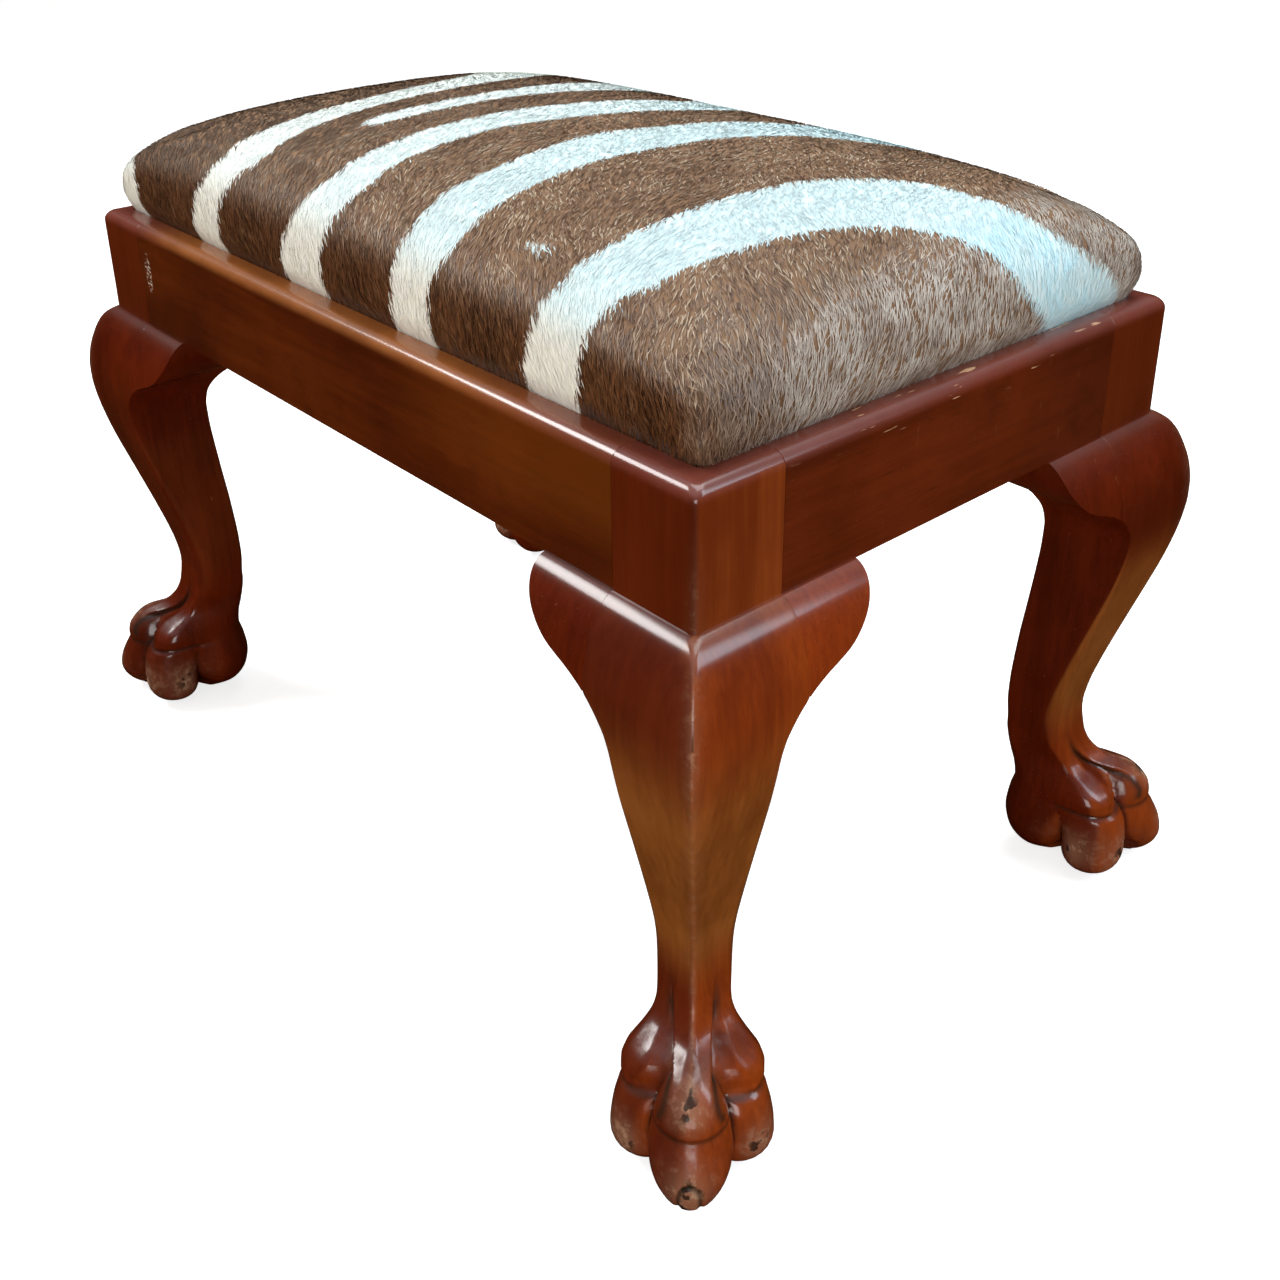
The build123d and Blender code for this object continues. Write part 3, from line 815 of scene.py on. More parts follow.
coarse, coarse_flat = crown_grid(COARSE)
print("skin half lengths", coarse_flat[-1, -1], "crown top", coarse[..., 2].max())


# %% Faces of a grid
def grid_faces(rows, columns):
    """Quads of a grid whose points are numbered row by row."""
    first = (np.arange(rows - 1)[:, None] * columns + np.arange(columns - 1)).ravel()
    return np.stack([first, first + columns, first + columns + 1, first + 1], 1).tolist()


def rim_of(rows, columns):
    """Point numbers round the rim of a grid, in order."""
    number = np.arange(rows * columns).reshape(rows, columns)
    return np.concatenate([number[:-1, 0], number[-1, :-1], number[:0:-1, -1], number[0, :0:-1]])


print("a grid of 3 by 3 points has", len(grid_faces(3, 3)), "faces and", len(rim_of(3, 3)), "on its rim")

# %% [markdown]
# ## Stuffing the skin
# The hide is pulled tight over hair and wadding, so it bulges a little between its nailed edges.
# That could be drawn by hand, but a cloth simulation with a small pressure from inside gives a
# truer swell. The rim stays pinned. The stuffing keeps the skin from sinking, so only the outward
# part of each movement is kept.

# %% Stuffing the skin
MOST_SWELL = 1.6
PINNED_RIM = 6
FRAMES = 20
CLOTH = {"quality": 6, "mass": 0.4, "tension_stiffness": 30, "compression_stiffness": 30,
         "bending_stiffness": 5, "use_pressure": True, "uniform_pressure_force": 4}


def facing(points):
    """Unit normals of a grid of points."""
    normal = np.cross(np.gradient(points, axis=0), np.gradient(points, axis=1))
    return normal / np.maximum(np.linalg.norm(normal, axis=-1, keepdims=True), 1e-9)


def swell(points):
    """Displacements of a grid of skin after a short cloth simulation with pressure from inside."""
    rows, columns = points.shape[:2]
    skin = mesh_object("skin_trial", points.reshape(-1, 3), grid_faces(rows, columns))
    pins = skin.vertex_groups.new(name="rim")
    low = np.flatnonzero(points[..., 2].ravel() < RAIL_TOP + PINNED_RIM)
    pins.add(low.tolist(), 1.0, "REPLACE")
    cloth = skin.modifiers.new("cloth", "CLOTH")
    for key, value in CLOTH.items():
        setattr(cloth.settings, key, value)
    cloth.settings.effector_weights.gravity = 0
    cloth.settings.vertex_group_mass = "rim"
    cloth.collision_settings.use_collision = False
    cloth.point_cache.frame_start, cloth.point_cache.frame_end = 1, FRAMES
    for number in range(1, FRAMES + 1):
        scene.frame_set(number)
    still = skin.evaluated_get(bpy.context.evaluated_depsgraph_get()).to_mesh()
    after = np.empty(len(still.vertices) * 3, np.float32)
    still.vertices.foreach_get("co", after)
    moved = after.reshape(points.shape) / MM - points
    scene.frame_set(1)
    bpy.data.objects.remove(skin)
    outward = (moved * facing(points)).sum(-1, keepdims=True)
    return facing(points) * np.clip(outward, 0, MOST_SWELL)


swelling = swell(coarse)
print("skin swells by up to", round(float(np.linalg.norm(swelling, axis=-1).max()), 2), "mm")

# %% [markdown]
# ## The stripes
# The stripes are the animal's own. Each pale stripe is given by its two edges on the flat skin, in
# millimetres along and across from the middle of the seat. Five run across the seat; one of them
# ends in a point, and the broad one on the right sweeps over to the end. Two more lie at the left
# end and the far right corner, and a small one is a bare scuff. They could be painted as a picture;
# edges stay sharp at any size, and the hairs can read them too.

# %% Stripes
STRIPES = [
    ([(-169, -210), (-165, -180), (-157, -165), (-152, -148), (-150, -110), (-153, -50), (-164, 0),
      (-182, 50), (-202, 75), (-226, 100), (-252, 125), (-285, 170), (-300, 210)],
     [(-136, -210), (-134, -182), (-130, -167), (-119, -150), (-114, -135), (-119, -105), (-126, -50),
      (-134, 0), (-140, 50), (-146, 75), (-158, 100), (-172, 125), (-200, 170), (-222, 210)]),
    ([(-91, -83), (-97, -79), (-101, -68), (-102, -45), (-104, 0), (-105, 50), (-107, 100), (-115, 125),
      (-124, 165), (-130, 210)],
     [(-91, -83), (-86, -79), (-83, -68), (-83, -40), (-83, 0), (-75, 50), (-66, 100), (-64, 125),
      (-66, 165), (-70, 210)]),
    ([(-62, -210), (-60, -182), (-51, -167), (-46, -150), (-43, -135), (-46, -100), (-49, -50), (-47, 0),
      (-41, 25), (-35, 50), (-27, 75), (-18, 100), (-29, 122), (-40, 160), (-46, 210)],
     [(-19, -210), (-19, -182), (-15, -165), (-12, -150), (-11, -135), (-15, -100), (-18, -50), (-9, 0),
      (-2, 25), (5, 50), (16, 78), (19, 100), (14, 122), (6, 160), (0, 210)]),
    ([(46, -210), (49, -180), (50, -150), (46, -132), (44, -100), (37, -50), (33, -16), (36, 0), (44, 25),
      (50, 50), (59, 75), (70, 100), (74, 122), (82, 160), (95, 210)],
     [(86, -210), (81, -180), (84, -165), (88, -150), (86, -135), (82, -100), (77, -50), (82, 0), (86, 25),
      (94, 50), (106, 75), (128, 100), (142, 122), (165, 160), (185, 210)]),
    ([(156, -210), (158, -180), (164, -152), (166, -130), (166, -50), (169, 0), (174, 15), (182, 31),
      (195, 50), (209, 62), (233, 75), (254, 86), (272, 102), (289, 125), (306, 141), (330, 156)],
     [(194, -210), (195, -180), (199, -152), (205, -135), (210, -100), (215, -50), (231, 0), (239, 16),
      (254, 31), (281, 50), (294, 62), (306, 74), (318, 83), (330, 90)]),
    ([(-340, -210), (-340, 210)],
     [(-246, -210), (-246, -186), (-249, -172), (-262, -157), (-276, -135), (-284, -60), (-291, 50),
      (-304, 210)]),
    ([(127, -138), (134, -137), (143, -133)], [(128, -134.5), (134, -133), (142, -130.5)]),
    ([(298, 215), (295, 190), (300, 170), (316, 158)], [(340, 215), (340, 190), (340, 170), (340, 160)]),
]
print("stripes", len(STRIPES), "with", sum(len(edge) for edges in STRIPES for edge in edges), "points")

# %% Stripe outlines
OUTLINE_STEP = 5


def stripe_outline(edges):
    """One closed outline from a stripe's two edges, with points every few millimetres."""
    ends = []
    for edge in edges:
        edge = np.array(edge, float)
        run = np.concatenate([[0], np.cumsum(np.hypot(*np.diff(edge, axis=0).T))])
        even = np.linspace(0, run[-1], int(run[-1] / OUTLINE_STEP) + 2)
        ends.append(np.stack([through(np.column_stack([run, edge[:, k]]), even) for k in (0, 1)], 1))
    return np.concatenate([ends[0], ends[1][::-1]])


outlines = [stripe_outline(edges) for edges in STRIPES]
print("points on the outlines", sum(len(outline) for outline in outlines))


# %% Inside a stripe
def inside_by(flat, outline):
    """How many millimetres inside an outline each flat place lies; outside it is less than zero."""
    x, y = flat.reshape(-1, 2).T
    near = np.full(len(x), 1e9)
    inside = np.zeros(len(x), bool)
    for (ax, ay), (bx, by) in zip(outline, np.roll(outline, -1, axis=0)):
        dx, dy = bx - ax, by - ay
        t = np.clip(((x - ax) * dx + (y - ay) * dy) / max(dx * dx + dy * dy, 1e-9), 0, 1)
        near = np.minimum(near, np.hypot(x - ax - t * dx, y - ay - t * dy))
        if ay != by:
            inside ^= ((ay > y) != (by > y)) & (x < ax + (y - ay) / dy * dx)
    return np.where(inside, near, -near).reshape(flat.shape[:-1])


def paleness(flat):
    """Millimetres inside the nearest pale stripe."""
    return np.max([inside_by(flat, outline) for outline in outlines], axis=0)


print("the middle of the seat is inside by", paleness(np.zeros((1, 2))), "mm")

# %% [markdown]
# ## Hide finishes
# Zebra-like hide has short brown hair between pale stripes. Hair gathers into fine streaks along its lie, a
# little ragged where two colours meet. Light and shade are painted in: both colours are lighter on the crown,
# where the sky lights it, and darker down the sides, the pale hair creamy there and whiter above, turning
# bluer towards the right; the right end is painted lighter and cooler, as the right window lights it, and
# each hair is painted darker at its root. One finish is for the skin and two are for the hairs on it: colour
# that follows each hair looks softer than a print.


# %% Skin finish
def lit_right_end(place):
    """A mask over the seat's right end, painted lighter as the right window lights it and the hair shines
    there; it leaves the near corner out.
    """
    x, y = place.parts()[:2]
    return x.ramp(0.2, 0.255) * y.ramp(-0.15, -0.08) * 0.8


def hide_finish(name):
    """Short-haired hide with stripes from the skin's own measure."""
    made, shader, place = material(name, ior=1.4, specular_ior_level=0.2)
    lie = place.add("ShaderNodeAttribute", {"attribute_name": "lie"}, out="Vector")
    streaks = lie.scaled((1, 0.14, 1)).noise(0.9, 3, 0.6)
    fine = lie.scaled((1, 0.1, 1)).noise(2.6, 2, 0.6)
    blotch = lie.noise(0.012, 3, 0.6)
    ragged = attribute(place, "pale") + (streaks - 0.5) * 9 + (fine - 0.5) * 3
    # painted light and shade: lighter colours where the skin faces up and at the lit right end, darker ones
    # down the sides
    up = attribute(place, "up").ramp(0.1, 0.95).most(lit_right_end(place))
    brown = (streaks * 0.8 + fine * 0.5).ramp(0.45, 0.95).mix("38200f", "86603f")
    brown = (blotch.ramp(0.4, 0.7) * 0.5).mix(brown, "5a3620")
    brown = up.mix(brown, blotch.mix("6e4f39", "94755a"))
    x = place.parts()[0]
    # painted light: the cream is whiter on the crown and bluer towards the right, where the right window
    # lights it; it stays creamy down the sides
    crown = x.ramp(-0.25, 0.15).mix("f2f5f0", "d0e6ea")
    cream = up.mix("f4f2e8", crown)
    cream = ((1 - streaks).ramp(0.5, 0.85) * 0.3).mix(cream, "b4babb")
    skin = ragged.ramp(-0.7, 0.7).mix(brown, cream)
    coarse_hair = (streaks + fine * 0.5).bump(0.35, 0.0006)
    feed(shader, base_color=skin, roughness=fine * 0.2 + 0.6, normal=coarse_hair)
    return made


hide_skin = hide_finish("striped_hide")
print("skin finish", hide_skin.name)


# %% Hair finishes
def hair_finish(name, dark, middle, light, side_shade_dark, side_shade_light, right_end_light, left_end):
    """Single hairs: each has its own tone; painted shade darkens each root and the seat's sides, and painted
    light brightens the crown, the near corner and the right end.
    """
    made, shader, place = material(name, ior=1.5, specular_ior_level=0.3)
    shade, reach, up = (attribute(place, key) for key in ("shade", "reach", "up"))
    top = shade.ramp(0.0, 0.6).mix(dark, middle)
    top = shade.ramp(0.65, 1.0).mix(top, light)
    side = shade.mix(side_shade_dark, side_shade_light)
    x, y = place.parts()[:2]
    # painted light: the near corner and the lit right end take the crown's lighter colours
    corner = x.ramp(0.255, 0.268) * y.ramp(-0.16, -0.1, 1, 0) * 0.5
    up = up.ramp(0.15, 0.95).most(lit_right_end(place)).most(corner)
    top = (x.ramp(-0.25, 0.15, 1, 0) * 0.85).mix(top, left_end)
    top = (x.ramp(0.05, 0.16) * y.ramp(-0.03, 0.05, 1, 0) * 0.3).mix(top, dark)
    # painted shade: the sides take darker colours than the lit crown
    hair = up.mix(side, top)
    # painted light and sheen: the right end's slope is lighter and cooler, in tufts
    slope = (x + y * 0.15).ramp(0.232, 0.262) * y.ramp(-0.165, -0.1)
    tufts = place.noise(45, 3, 0.6).ramp(0.35, 0.65)
    hair = (slope * (shade * 0.5 + tufts * 0.45 + 0.2)).mix(hair, right_end_light)
    # painted shade at each hair's root
    hair = ((1 - reach) * 0.3).mix(hair, side_shade_dark)
    feed(shader, base_color=hair, roughness=shade * 0.2 + 0.4)
    return made


# colours: the crown's dark, middle and light tones, the sides' painted shade from dark to light, the right
# end's painted light, the left end's tone
brown_hair = hair_finish("brown_hair", "5c402e", "a08166", "dcc8ae", "2a1405", "7e4c26", "d2c8bd", "5a483c")
cream_hair = hair_finish("cream_hair", "b8cace", "cfe4e7", "dff0f2", "ecebe2", "fbfbf5", "c2ecf8", "f7f7f2")
print("hair finishes", brown_hair.name, cream_hair.name)

# %% [markdown]
# ## The hide cover
# The cover is one fine grid over the crown, carried on down into the rebate and turned under the
# seat frame, where it is tacked. It could be cut and sewn from a flat pattern; a grid that is pulled
# over the crown is simpler, as the real hide has no seam. The swell of the simulation is spread over it.

# %% Hide cover
FINE = 248, 164
HIDE_THICK = 1.2
HIDE_UNDER, TURN_UNDER = LEDGE + HIDE_THICK, 22.0
HAIR_LIE = -52.0


def spread(values, rows, columns):
    """Values of a coarse grid read on a finer one, smoothly."""
    for axis, count in ((0, rows), (1, columns)):
        old = np.linspace(0, 1, values.shape[axis])
        new = np.linspace(0, 1, count)
        rowwise = np.moveaxis(values, axis, 0)
        i = np.clip(np.searchsorted(old, new) - 1, 0, len(old) - 2)
        t = ((new - old[i]) / (old[i + 1] - old[i])).reshape((-1,) + (1,) * (rowwise.ndim - 1))
        t = t * t * (3 - 2 * t)
        values = np.moveaxis(rowwise[i] * (1 - t) + rowwise[i + 1] * t, 0, axis)
    return values


def turned_under(points, flat):
    """Rows of points that carry the rim down into the rebate and in under the seat frame."""
    rim = rim_of(*points.shape[:2])
    edge, place = points.reshape(-1, 3)[rim], flat.reshape(-1, 2)[rim]
    ends = np.abs(place) >= np.abs(place).max(0) - 1e-6
    inward = -np.sign(edge[:, :2]) * ends
    levels = [(0, RAIL_TOP - 5), (0, LEDGE + 6), (0.4, LEDGE + 3), (2.5, HIDE_UNDER),
              (9, HIDE_UNDER), (16, HIDE_UNDER), (TURN_UNDER, HIDE_UNDER)]
    return rim, [np.column_stack([edge[:, :2] + inward * way, np.full(len(rim), z)]) for way, z in levels]


skin_points, skin_flat = crown_grid(FINE)
skin_points = skin_points + spread(swelling, *skin_points.shape[:2])
rows, columns = skin_points.shape[:2]
rim, skirts = turned_under(skin_points, skin_flat)
print("skin grid", rows, "by", columns, "with", len(skirts), "rows turned under")

# %% Hide mesh
points = np.concatenate([skin_points.reshape(-1, 3)] + skirts)
faces = grid_faces(rows, columns)
ring = rim
for k in range(len(skirts)):
    below = rows * columns + k * len(rim) + np.arange(len(rim))
    faces += np.stack([ring, below, np.roll(below, -1), np.roll(ring, -1)], 1).tolist()
    ring = below
skin_pale = paleness(skin_flat)
pale = np.concatenate([skin_pale.ravel()] + [skin_pale.ravel()[rim]] * len(skirts))
normals = facing(skin_points)
# how far the skin faces up, for the painted light on the crown and the painted shade down the sides
facing_up = np.concatenate([normals[..., 2].ravel(), np.zeros(len(rim) * len(skirts))])
hide = mesh_object("hide_cover_skin", points, faces, {"pale": pale, "up": facing_up})
lie = np.concatenate([skin_flat.reshape(-1, 2)] + [skin_flat.reshape(-1, 2)[rim]] * len(skirts))
flow = math.radians(HAIR_LIE)
turned = np.column_stack([lie @ (-math.sin(flow), math.cos(flow)), lie @ (math.cos(flow), math.sin(flow))])
layer = hide.data.attributes.new("lie", "FLOAT_VECTOR", "POINT")
layer.data.foreach_set("vector", np.column_stack([turned, np.zeros(len(lie))]).astype(np.float32).ravel())
hide.data.materials.append(hide_skin)
thick = hide.modifiers.new("thickness", "SOLIDIFY")
thick.thickness, thick.offset = HIDE_THICK * MM, -1
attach(hide, "drop_in_seat")
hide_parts("hide_cover")
print("hide faces", len(hide.data.polygons))

# %% [markdown]
# ## Hair
# The hide's hair is short, five to nine millimetres, and lies down towards the near right corner,
# where it is longer and looser. Each hair is a thin blade of two faces that hugs the skin and lifts
# a little at its tip. A hair system could grow it, but blades of mesh go out with the exported model.
# A hair takes its colour from the stripe at its root, so the edges between stripes come out ragged.


# %% Lie of the hair
def read(values, where):
    """Values of a grid over the skin, read at flat places between its points."""
    last = np.array(values.shape[:2]) - 1
    spot = np.clip((where / skin_flat[-1, -1] + 1) / 2 * last, 0, last - 0.001)
    i, j = spot.astype(int).T
    s, t = (spot % 1).T[:, :, None]
    front = values[i, j] * (1 - t) + values[i, j + 1] * t
    return front * (1 - s) + (values[i + 1, j] * (1 - t) + values[i + 1, j + 1] * t) * s


def hair_lie(where):
    """The way that hair lies on the flat skin, as a turn from its length."""
    x, y = where.T
    turn = HAIR_LIE + 24 * eased(x, 190, 300) - 22 * eased(-y, 150, 200) + 10 * eased(-x, 50, 250)
    return np.radians(turn + 9 * np.sin(x / 23 + y / 31) + 7 * np.sin(x / 11 - y / 17))


print("hair in the middle lies at", np.degrees(hair_lie(np.zeros((1, 2)))), "degrees")

# %% Growing hair
HAIRS = 88000
HAIR_SEED = 7
BLADE = 0.33, 0.27
BEND = 0.55
HAIR_LENGTH, HAIR_LIFT, HAIR_STRAY = (5, 9.5), (0.3, 1.0), 0.2
STRIPE_STRAY = 1.3


def grow(seed):
    """Roots, blades and shades of all hairs, the same on every run."""
    chance = np.random.default_rng(seed)
    roots = chance.uniform(-1, 1, (HAIRS, 2)) * skin_flat[-1, -1]
    loose = eased(roots[:, 0], 210, 300) * eased(-roots[:, 1], 60, 200)
    turn = hair_lie(roots) + chance.normal(0, HAIR_STRAY, HAIRS) * (1 + 1.5 * loose)
    length = chance.uniform(*HAIR_LENGTH, HAIRS) * (1 + 0.5 * loose)
    way = np.stack([np.cos(turn), np.sin(turn)], 1) * length[:, None]
    lift = chance.uniform(*HAIR_LIFT, (HAIRS, 1)) * (1 + loose[:, None])
    spots = [(roots + way * share, share) for share in (0, BEND, 1)]
    root, bend, tip = (read(skin_points, at) + read(normals, at) * lift * share for at, share in spots)
    side = np.cross(read(normals, roots), tip - root)
    side /= np.maximum(np.linalg.norm(side, axis=1, keepdims=True), 1e-9)
    wide, narrow = side * BLADE[0], side * BLADE[1]
    blades = np.stack([root - wide, root + wide, bend - narrow, bend + narrow, tip], 1)
    locks = 0.12 * np.sin(roots[:, 0] / 9) * np.sin(roots[:, 1] / 13)
    shade = np.clip(chance.beta(1.1, 1.3, HAIRS) + locks, 0, 1)
    is_pale = paleness(roots) + chance.normal(0, STRIPE_STRAY, HAIRS) > 0
    return blades, shade, read(normals, roots)[:, 2], is_pale


blades, shades, root_up, is_pale = grow(HAIR_SEED)
print("hairs", len(blades), "of which pale", int(is_pale.sum()))


# %% Pieces of hair
def hair_piece(name, blades, shade, up, finish):
    """One mesh of many hairs."""
    count, corners = blades.shape[:2]
    first = np.arange(count)[:, None] * corners
    faces = (first + (0, 1, 3, 2)).tolist() + (first + (2, 3, 4)).tolist()
    values = {"shade": np.repeat(shade, corners), "up": np.repeat(up, corners),
              "reach": np.tile([0, 0, BEND, BEND, 1], count)}
    made = mesh_object(name, blades.reshape(-1, 3), faces, values)
    made.data.materials.append(finish)
    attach(made, "drop_in_seat")
    return count


coats = [("hide_hair_brown", ~is_pale, brown_hair), ("hide_hair_cream", is_pale, cream_hair)]
for name, own, finish in coats:
    print(name, hair_piece(name, blades[own], shades[own], root_up[own], finish), "hairs")

# %% [markdown]
# ## Under the hide
# Below the hide lie a layer of wadding, the curled-hair stuffing, hessian and webbing, and a black
# dust cover closes the seat from below. They show only when the seat is lifted out or taken apart.
# Fibres could be single curls; matted noise with a bump is enough for what is seen so seldom.


# %% Fibre and cloth finishes
def fibre_finish(name, dark, light, scale):
    """Matted fibre: curled hair or cotton."""
    made, shader, place = material(name, ior=1.4)
    curls = place.noise(scale, 6, 0.7, 2.0)
    feed(shader, base_color=curls.ramp(0.3, 0.75).mix(dark, light),
         roughness=curls * 0.1 + 0.85, normal=curls.bump(0.6, 0.002))
    return made


def woven_finish(name, dark, light, pitch):
    """Plain woven cloth: threads over and under at a given pitch in millimetres."""
    made, shader, place = material(name, ior=1.4)
    x, y = place.parts()[:2]
    turns = 2 * math.pi / (pitch * MM)
    over = place.sum_of("SINE", x * turns, 0.0) * place.sum_of("SINE", y * turns, 0.0)
    slub = place.noise(260, 4, 0.6)
    cloth = (over * 0.35 + slub).ramp(0.1, 0.95).mix(dark, light)
    feed(shader, base_color=cloth, roughness=slub * 0.15 + 0.8, normal=over.bump(0.5, 0.0004))
    return made


hair_pad = fibre_finish("curled_hair", "2a1f18", "6b543f", 160)
cotton = fibre_finish("cotton_wadding", "d8d2c2", "f3efe4", 90)
jute = woven_finish("jute_webbing", "7a5f3a", "c2a26c", 2.4)
sacking = woven_finish("hessian_cloth", "8a6c40", "bd9a63", 1.6)
black_cloth = woven_finish("dust_cloth", "111112", "2b2b2d", 0.9)
print("fibre and cloth finishes ready")

# %% [markdown]
# ## Stuffing and wadding
# The pads fill the crown from inside. They could be simulated like the hide, but they have to follow
# it, so each is the same crown drawn in by the thickness of what lies over it.

# %% Stuffing and wadding
PAD_CELLS = 80, 54
PAD_UNDER = 0.4
WADDING_DEPTH, WADDING_FOOT = 3.5, 375.2
STUFFING_DEPTH, STUFFING_FOOT = 9.8, 374.9


def drawn_in(points, depth, foot):
    """A grid of points moved in along its normals and cut off flat at its foot."""
    inner = points - depth * facing(points)
    inner[..., 2] = np.maximum(inner[..., 2], foot)
    return inner


def pad(name, depth, foot, node, finish):
    """A closed pad under the skin: the crown drawn in, with a flat underside."""
    top = drawn_in(crown_grid(PAD_CELLS)[0], depth, foot)
    count, wide = top.shape[:2]
    under = top.reshape(-1, 3).copy()
    under[:, 2] = foot - PAD_UNDER
    over = grid_faces(count, wide)
    faces = over + [[n + count * wide for n in face[::-1]] for face in over]
    rim = rim_of(count, wide)
    after = np.roll(rim, -1)
    faces += np.stack([rim, rim + count * wide, after + count * wide, after], 1).tolist()
    made = mesh_object(name, np.concatenate([top.reshape(-1, 3), under]), faces)
    made.data.materials.append(finish)
    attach(made, "drop_in_seat")
    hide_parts(node)
    return made


wadding = pad("wadding_pad", WADDING_DEPTH, WADDING_FOOT, "wadding_layer", cotton)
stuffing = pad("stuffing_pad", STUFFING_DEPTH, STUFFING_FOOT, "seat_stuffing", hair_pad)
print("pads", wadding.name, stuffing.name)

# %% [markdown]
# ## Webbing, hessian and dust cover
# Jute straps are strained over the seat frame and interlaced, hessian is nailed over them, and a black
# cloth closes the underside. Cloth could be hung by a simulation. These are nailed tight, so flat
# grids do, and a ripple takes the straps over and under each other.

# %% Flat cloths
THREAD_STEP, ACROSS_POINTS = 6, 9
RIPPLE_PITCH = 100


def flat_sheet(name, size, at, node, finish, thick, ripple=0.0):
    """A stretched flat cloth whose length runs along x or y; straps ripple over and under."""
    width, length = size
    rows = max(int(length / THREAD_STEP), 2)
    steps = np.linspace(-0.5, 0.5, rows), np.linspace(-0.5, 0.5, ACROSS_POINTS)
    u, v = np.meshgrid(*steps, indexing="ij")
    wave = ripple * np.cos(u * length / RIPPLE_PITCH * 2 * math.pi)
    points = np.stack([at[0] + u * length, at[1] + v * width, at[2] + wave], -1)
    if at[3] == "y":
        points = np.stack([at[0] + v * width, at[1] + u * length, at[2] - wave], -1)
    made = mesh_object(name, points.reshape(-1, 3), grid_faces(rows, ACROSS_POINTS))
    made.data.materials.append(finish)
    body = made.modifiers.new("thickness", "SOLIDIFY")
    body.thickness, body.offset = thick * MM, 0
    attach(made, "drop_in_seat")
    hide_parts(node)
    return made


print("a flat cloth has", ACROSS_POINTS, "points across and one about every", THREAD_STEP, "mm along")

# %% Straps and sheets
STRAP_WIDE, STRAP_THICK, STRAP_RIPPLE = 50, 1.2, 0.7
LONG_STRAP, CROSS_STRAP = 504, 288
LONG_AT, CROSS_AT = (-43.0, 43.0), (-150.0, -50.0, 50.0, 150.0)
HESSIAN_SIZE, HESSIAN_THICK = (288, 504), 0.7
DUST_SIZE, DUST_THICK = (296, 512), 0.6
WEB_LEVEL, HESSIAN_LEVEL, DUST_LEVEL = 371.6, 373.6, 349.6


def strap(name, length, at, node):
    """One strap of jute webbing."""
    size = STRAP_WIDE, length
    return flat_sheet(name, size, at, node, jute, STRAP_THICK, STRAP_RIPPLE)


cloths = []
for i, y in enumerate(LONG_AT):
    cloths += [strap(f"strap_long_{i + 1}", LONG_STRAP, (0, y, WEB_LEVEL, "x"), "webbing_lengthwise")]
for i, x in enumerate(CROSS_AT):
    cloths += [strap(f"strap_cross_{i + 1}", CROSS_STRAP, (x, 0, WEB_LEVEL, "y"), "webbing_crosswise")]
cloths += [
    flat_sheet("hessian_sheet", HESSIAN_SIZE, (0, 0, HESSIAN_LEVEL, "x"), "hessian_platform", sacking,
               HESSIAN_THICK),
    flat_sheet("dust_cover_sheet", DUST_SIZE, (0, 0, DUST_LEVEL, "x"), "dust_cover", black_cloth,
               DUST_THICK),
]
print("cloths", [cloth.name for cloth in cloths])

# %% [markdown]
# ## Floor
# The floor is pale and plain and keeps the stool's shadow. A sheet that is white to everything could
# do, but it would light the legs from below. This one is white to the camera only: the wood mirrors
# a dark floor and takes a duller, warm light from it.

# %% Floor
FLOOR_HALF, FLOOR_LEVEL = 9000, -0.5
RAYS = "Is Camera Ray", "Is Glossy Ray"


def floor_finish():
    """White to the camera, with shadows on it; a dark warm floor to everything that reflects it."""
    made, shader, place = material("pale_floor", ior=1.1, emission_strength=0.75)
    cloud = place.noise(3, 2, 0.5)
    feed(shader, base_color=cloud.mix("e8e8e8", "eeeeee"), roughness=cloud * 0.1 + 0.85)
    feed(shader, emission_color=cloud.mix("fafafa", "ffffff"))
    seen, mirrored = place.several("ShaderNodeLightPath", RAYS)
    bounce = mirrored.mix(cloud.mix("a18f78", "a8967f"), "2a1608")
    plain = seen.add("ShaderNodeBsdfDiffuse", None, {"Color": bounce})
    white = Wire(made.node_tree, shader.outputs[0])
    both = seen.add("ShaderNodeMixShader", None, {0: seen, 1: plain, 2: white})
    made.node_tree.links.new(both.socket, made.node_tree.nodes["Material Output"].inputs["Surface"])
    return made


floor_ways = (-1, -1), (1, -1), (1, 1), (-1, 1)
floor_points = [(a * FLOOR_HALF, b * FLOOR_HALF, FLOOR_LEVEL) for a, b in floor_ways]
floor = mesh_object("floor", floor_points, [[0, 1, 2, 3]])
floor.data.materials.append(floor_finish())
print("floor reaches", FLOOR_HALF, "mm each way")

# %% [markdown]
# ## Windows
# Windows of a room light the stool: a wide soft one from above, a small bright one high on the left,
# a cool one behind on the right and two weak ones in front. One picture of a room wrapped round the
# scene could light it too; single windows can be set one by one.


# %% Windows
def window(name, at, towards, size, watts, tint):
    """A soft area light that looks at a point."""
    light = bpy.data.lights.new(name, "AREA")
    light.shape = "RECTANGLE"
    light.size, light.size_y = size
    light.energy = watts
    light.color = tint
    lamp = bpy.data.objects.new(name, light)
    scene.collection.objects.link(lamp)
    lamp.location = at
    lamp.rotation_euler = (Vector(towards) - Vector(at)).to_track_quat("-Z", "Y").to_euler()
    return lamp


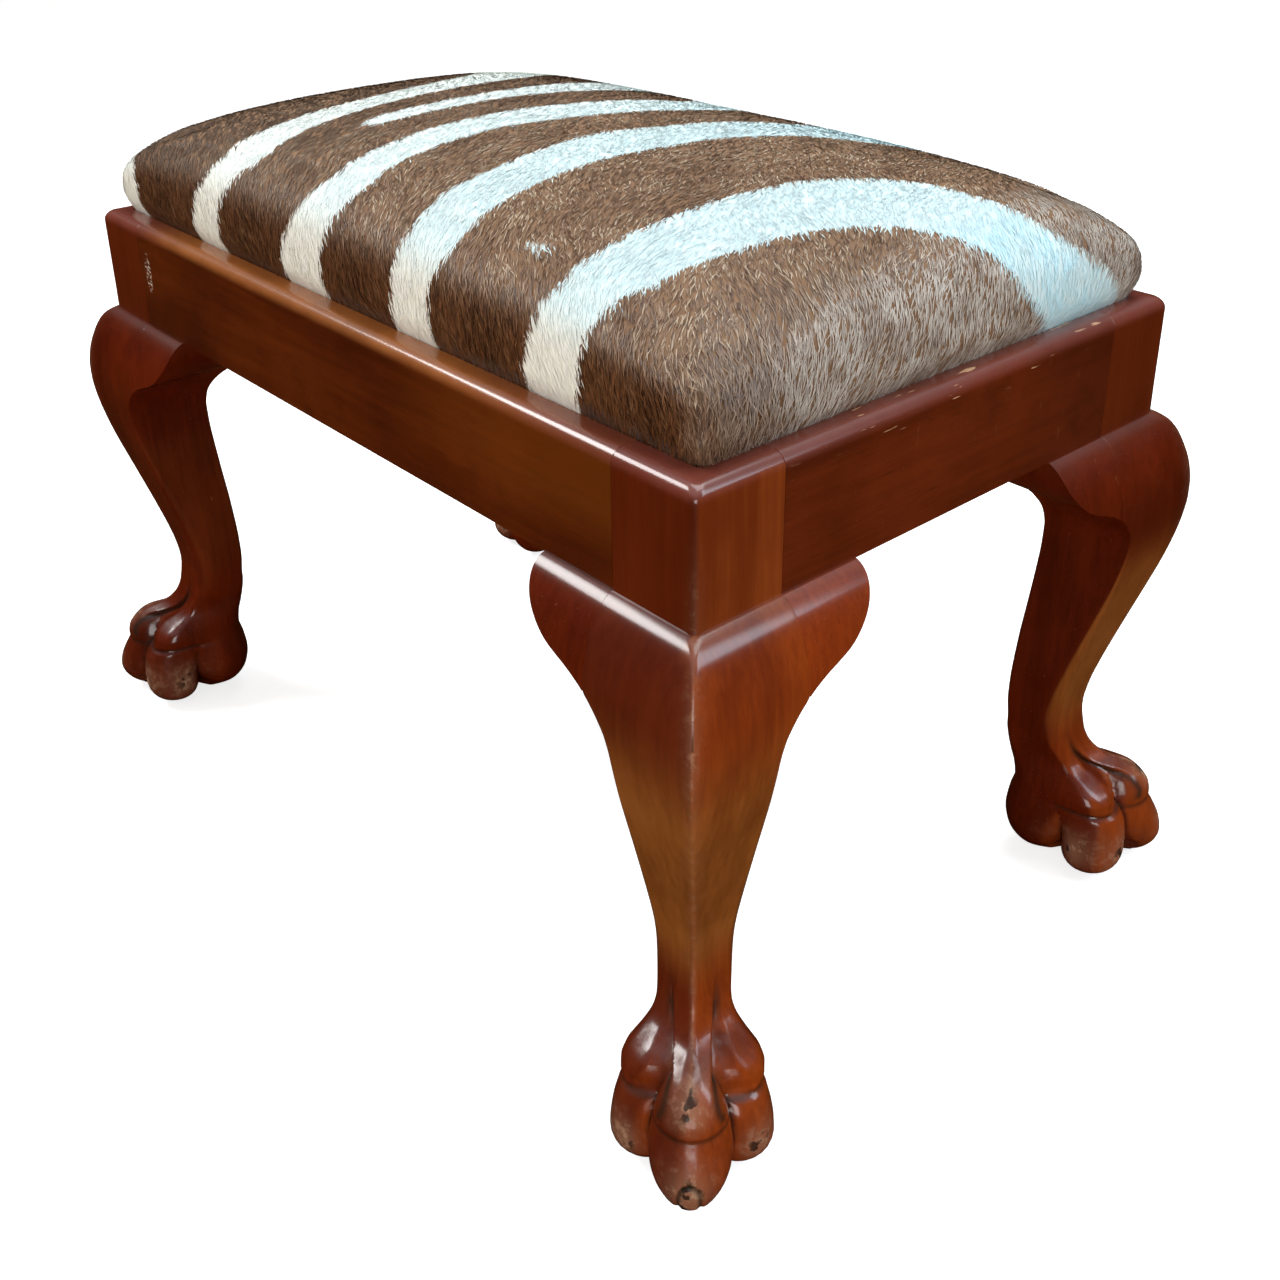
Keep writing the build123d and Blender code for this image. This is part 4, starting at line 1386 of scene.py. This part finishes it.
window("window_above", (0.1, 0.5, 2.2), (0, 0, 0.3), (1.7, 1.4), 38, (0.92, 0.98, 1.0))
window("window_left", (-1.45, -1.05, 1.85), (0.1, -0.1, 0.3), (0.9, 0.7), 33, (1.0, 1.0, 0.98))
window("window_right", (1.95, 1.1, 1.75), (0.1, 0, 0.2), (0.75, 1.6), 28, (0.73, 0.87, 1.0))
window("window_near", (1.5, -1.35, 0.45), (0.25, -0.17, 0.2), (0.8, 0.8), 13, (1.0, 0.99, 0.97))
front = window("window_front", (-1.4, -2.0, 0.8), (0, 0, 0.2), (1.8, 1.4), 8, (1.0, 1.0, 0.98))
front.visible_glossy = False

# %% [markdown]
# ## Room
# To the camera the room is white, and polished wood mirrors a room that is dark below and bright
# above. Walls could be built for that; a background whose colour goes by height needs no mesh.

# %% Room
world = bpy.data.worlds.new("room")
scene.world = world
world.use_nodes = True
backdrop = world.node_tree.nodes["Background"]
seen, mirrored = Wire(world.node_tree, None).several("ShaderNodeLightPath", RAYS)
height = seen.add("ShaderNodeTexCoord", out="Generated").parts()[2]
mirror_room = height.ramp(0.35, 0.9).mix("1c120c", (0.9, 1.0, 1.1, 1.0))
room = mirrored.mix("8f8b88", mirror_room)
world.node_tree.links.new(seen.mix(room, (1, 1, 1, 1)).socket, backdrop.inputs["Color"])
backdrop.inputs["Strength"].default_value = 1.0
print("world", world.name)

# %% [markdown]
# ## Camera
# The camera stands a little above the seat, over the stool's near right corner. It could be aimed by
# eye. Its place and turns here were worked out from the stool's own corners, and the lens is shifted
# down a little, as in a picture cut from a taller one.

# %% Camera
YAW, PITCH, ROLL = (math.radians(turn) for turn in (48.875, 24.702, -0.658))
EYE = 0.6475, -0.5205, 0.6126
SENSOR = 36.0
PICTURE_WIDE, FOCAL_PIXELS, SHIFT_PIXELS = 1280, 1465, -190
back = Vector((math.sin(YAW) * math.cos(PITCH), -math.cos(YAW) * math.cos(PITCH), math.sin(PITCH)))
right = Vector((math.cos(YAW), math.sin(YAW), 0))
up = back.cross(right)
rolled_right = right * math.cos(ROLL) + up * math.sin(ROLL)
rolled_up = up * math.cos(ROLL) - right * math.sin(ROLL)
turned = Matrix((rolled_right, rolled_up, back)).transposed().to_4x4()
lens = bpy.data.cameras.new("camera")
lens.sensor_width = SENSOR
lens.lens = SENSOR * FOCAL_PIXELS / PICTURE_WIDE
lens.shift_y = SHIFT_PIXELS / PICTURE_WIDE
camera = bpy.data.objects.new("camera", lens)
scene.collection.objects.link(camera)
camera.matrix_world = Matrix.Translation(EYE) @ turned
scene.camera = camera
scene.view_settings.view_transform = "Standard"
print("camera at", tuple(round(v, 3) for v in camera.location))

# %% [markdown]
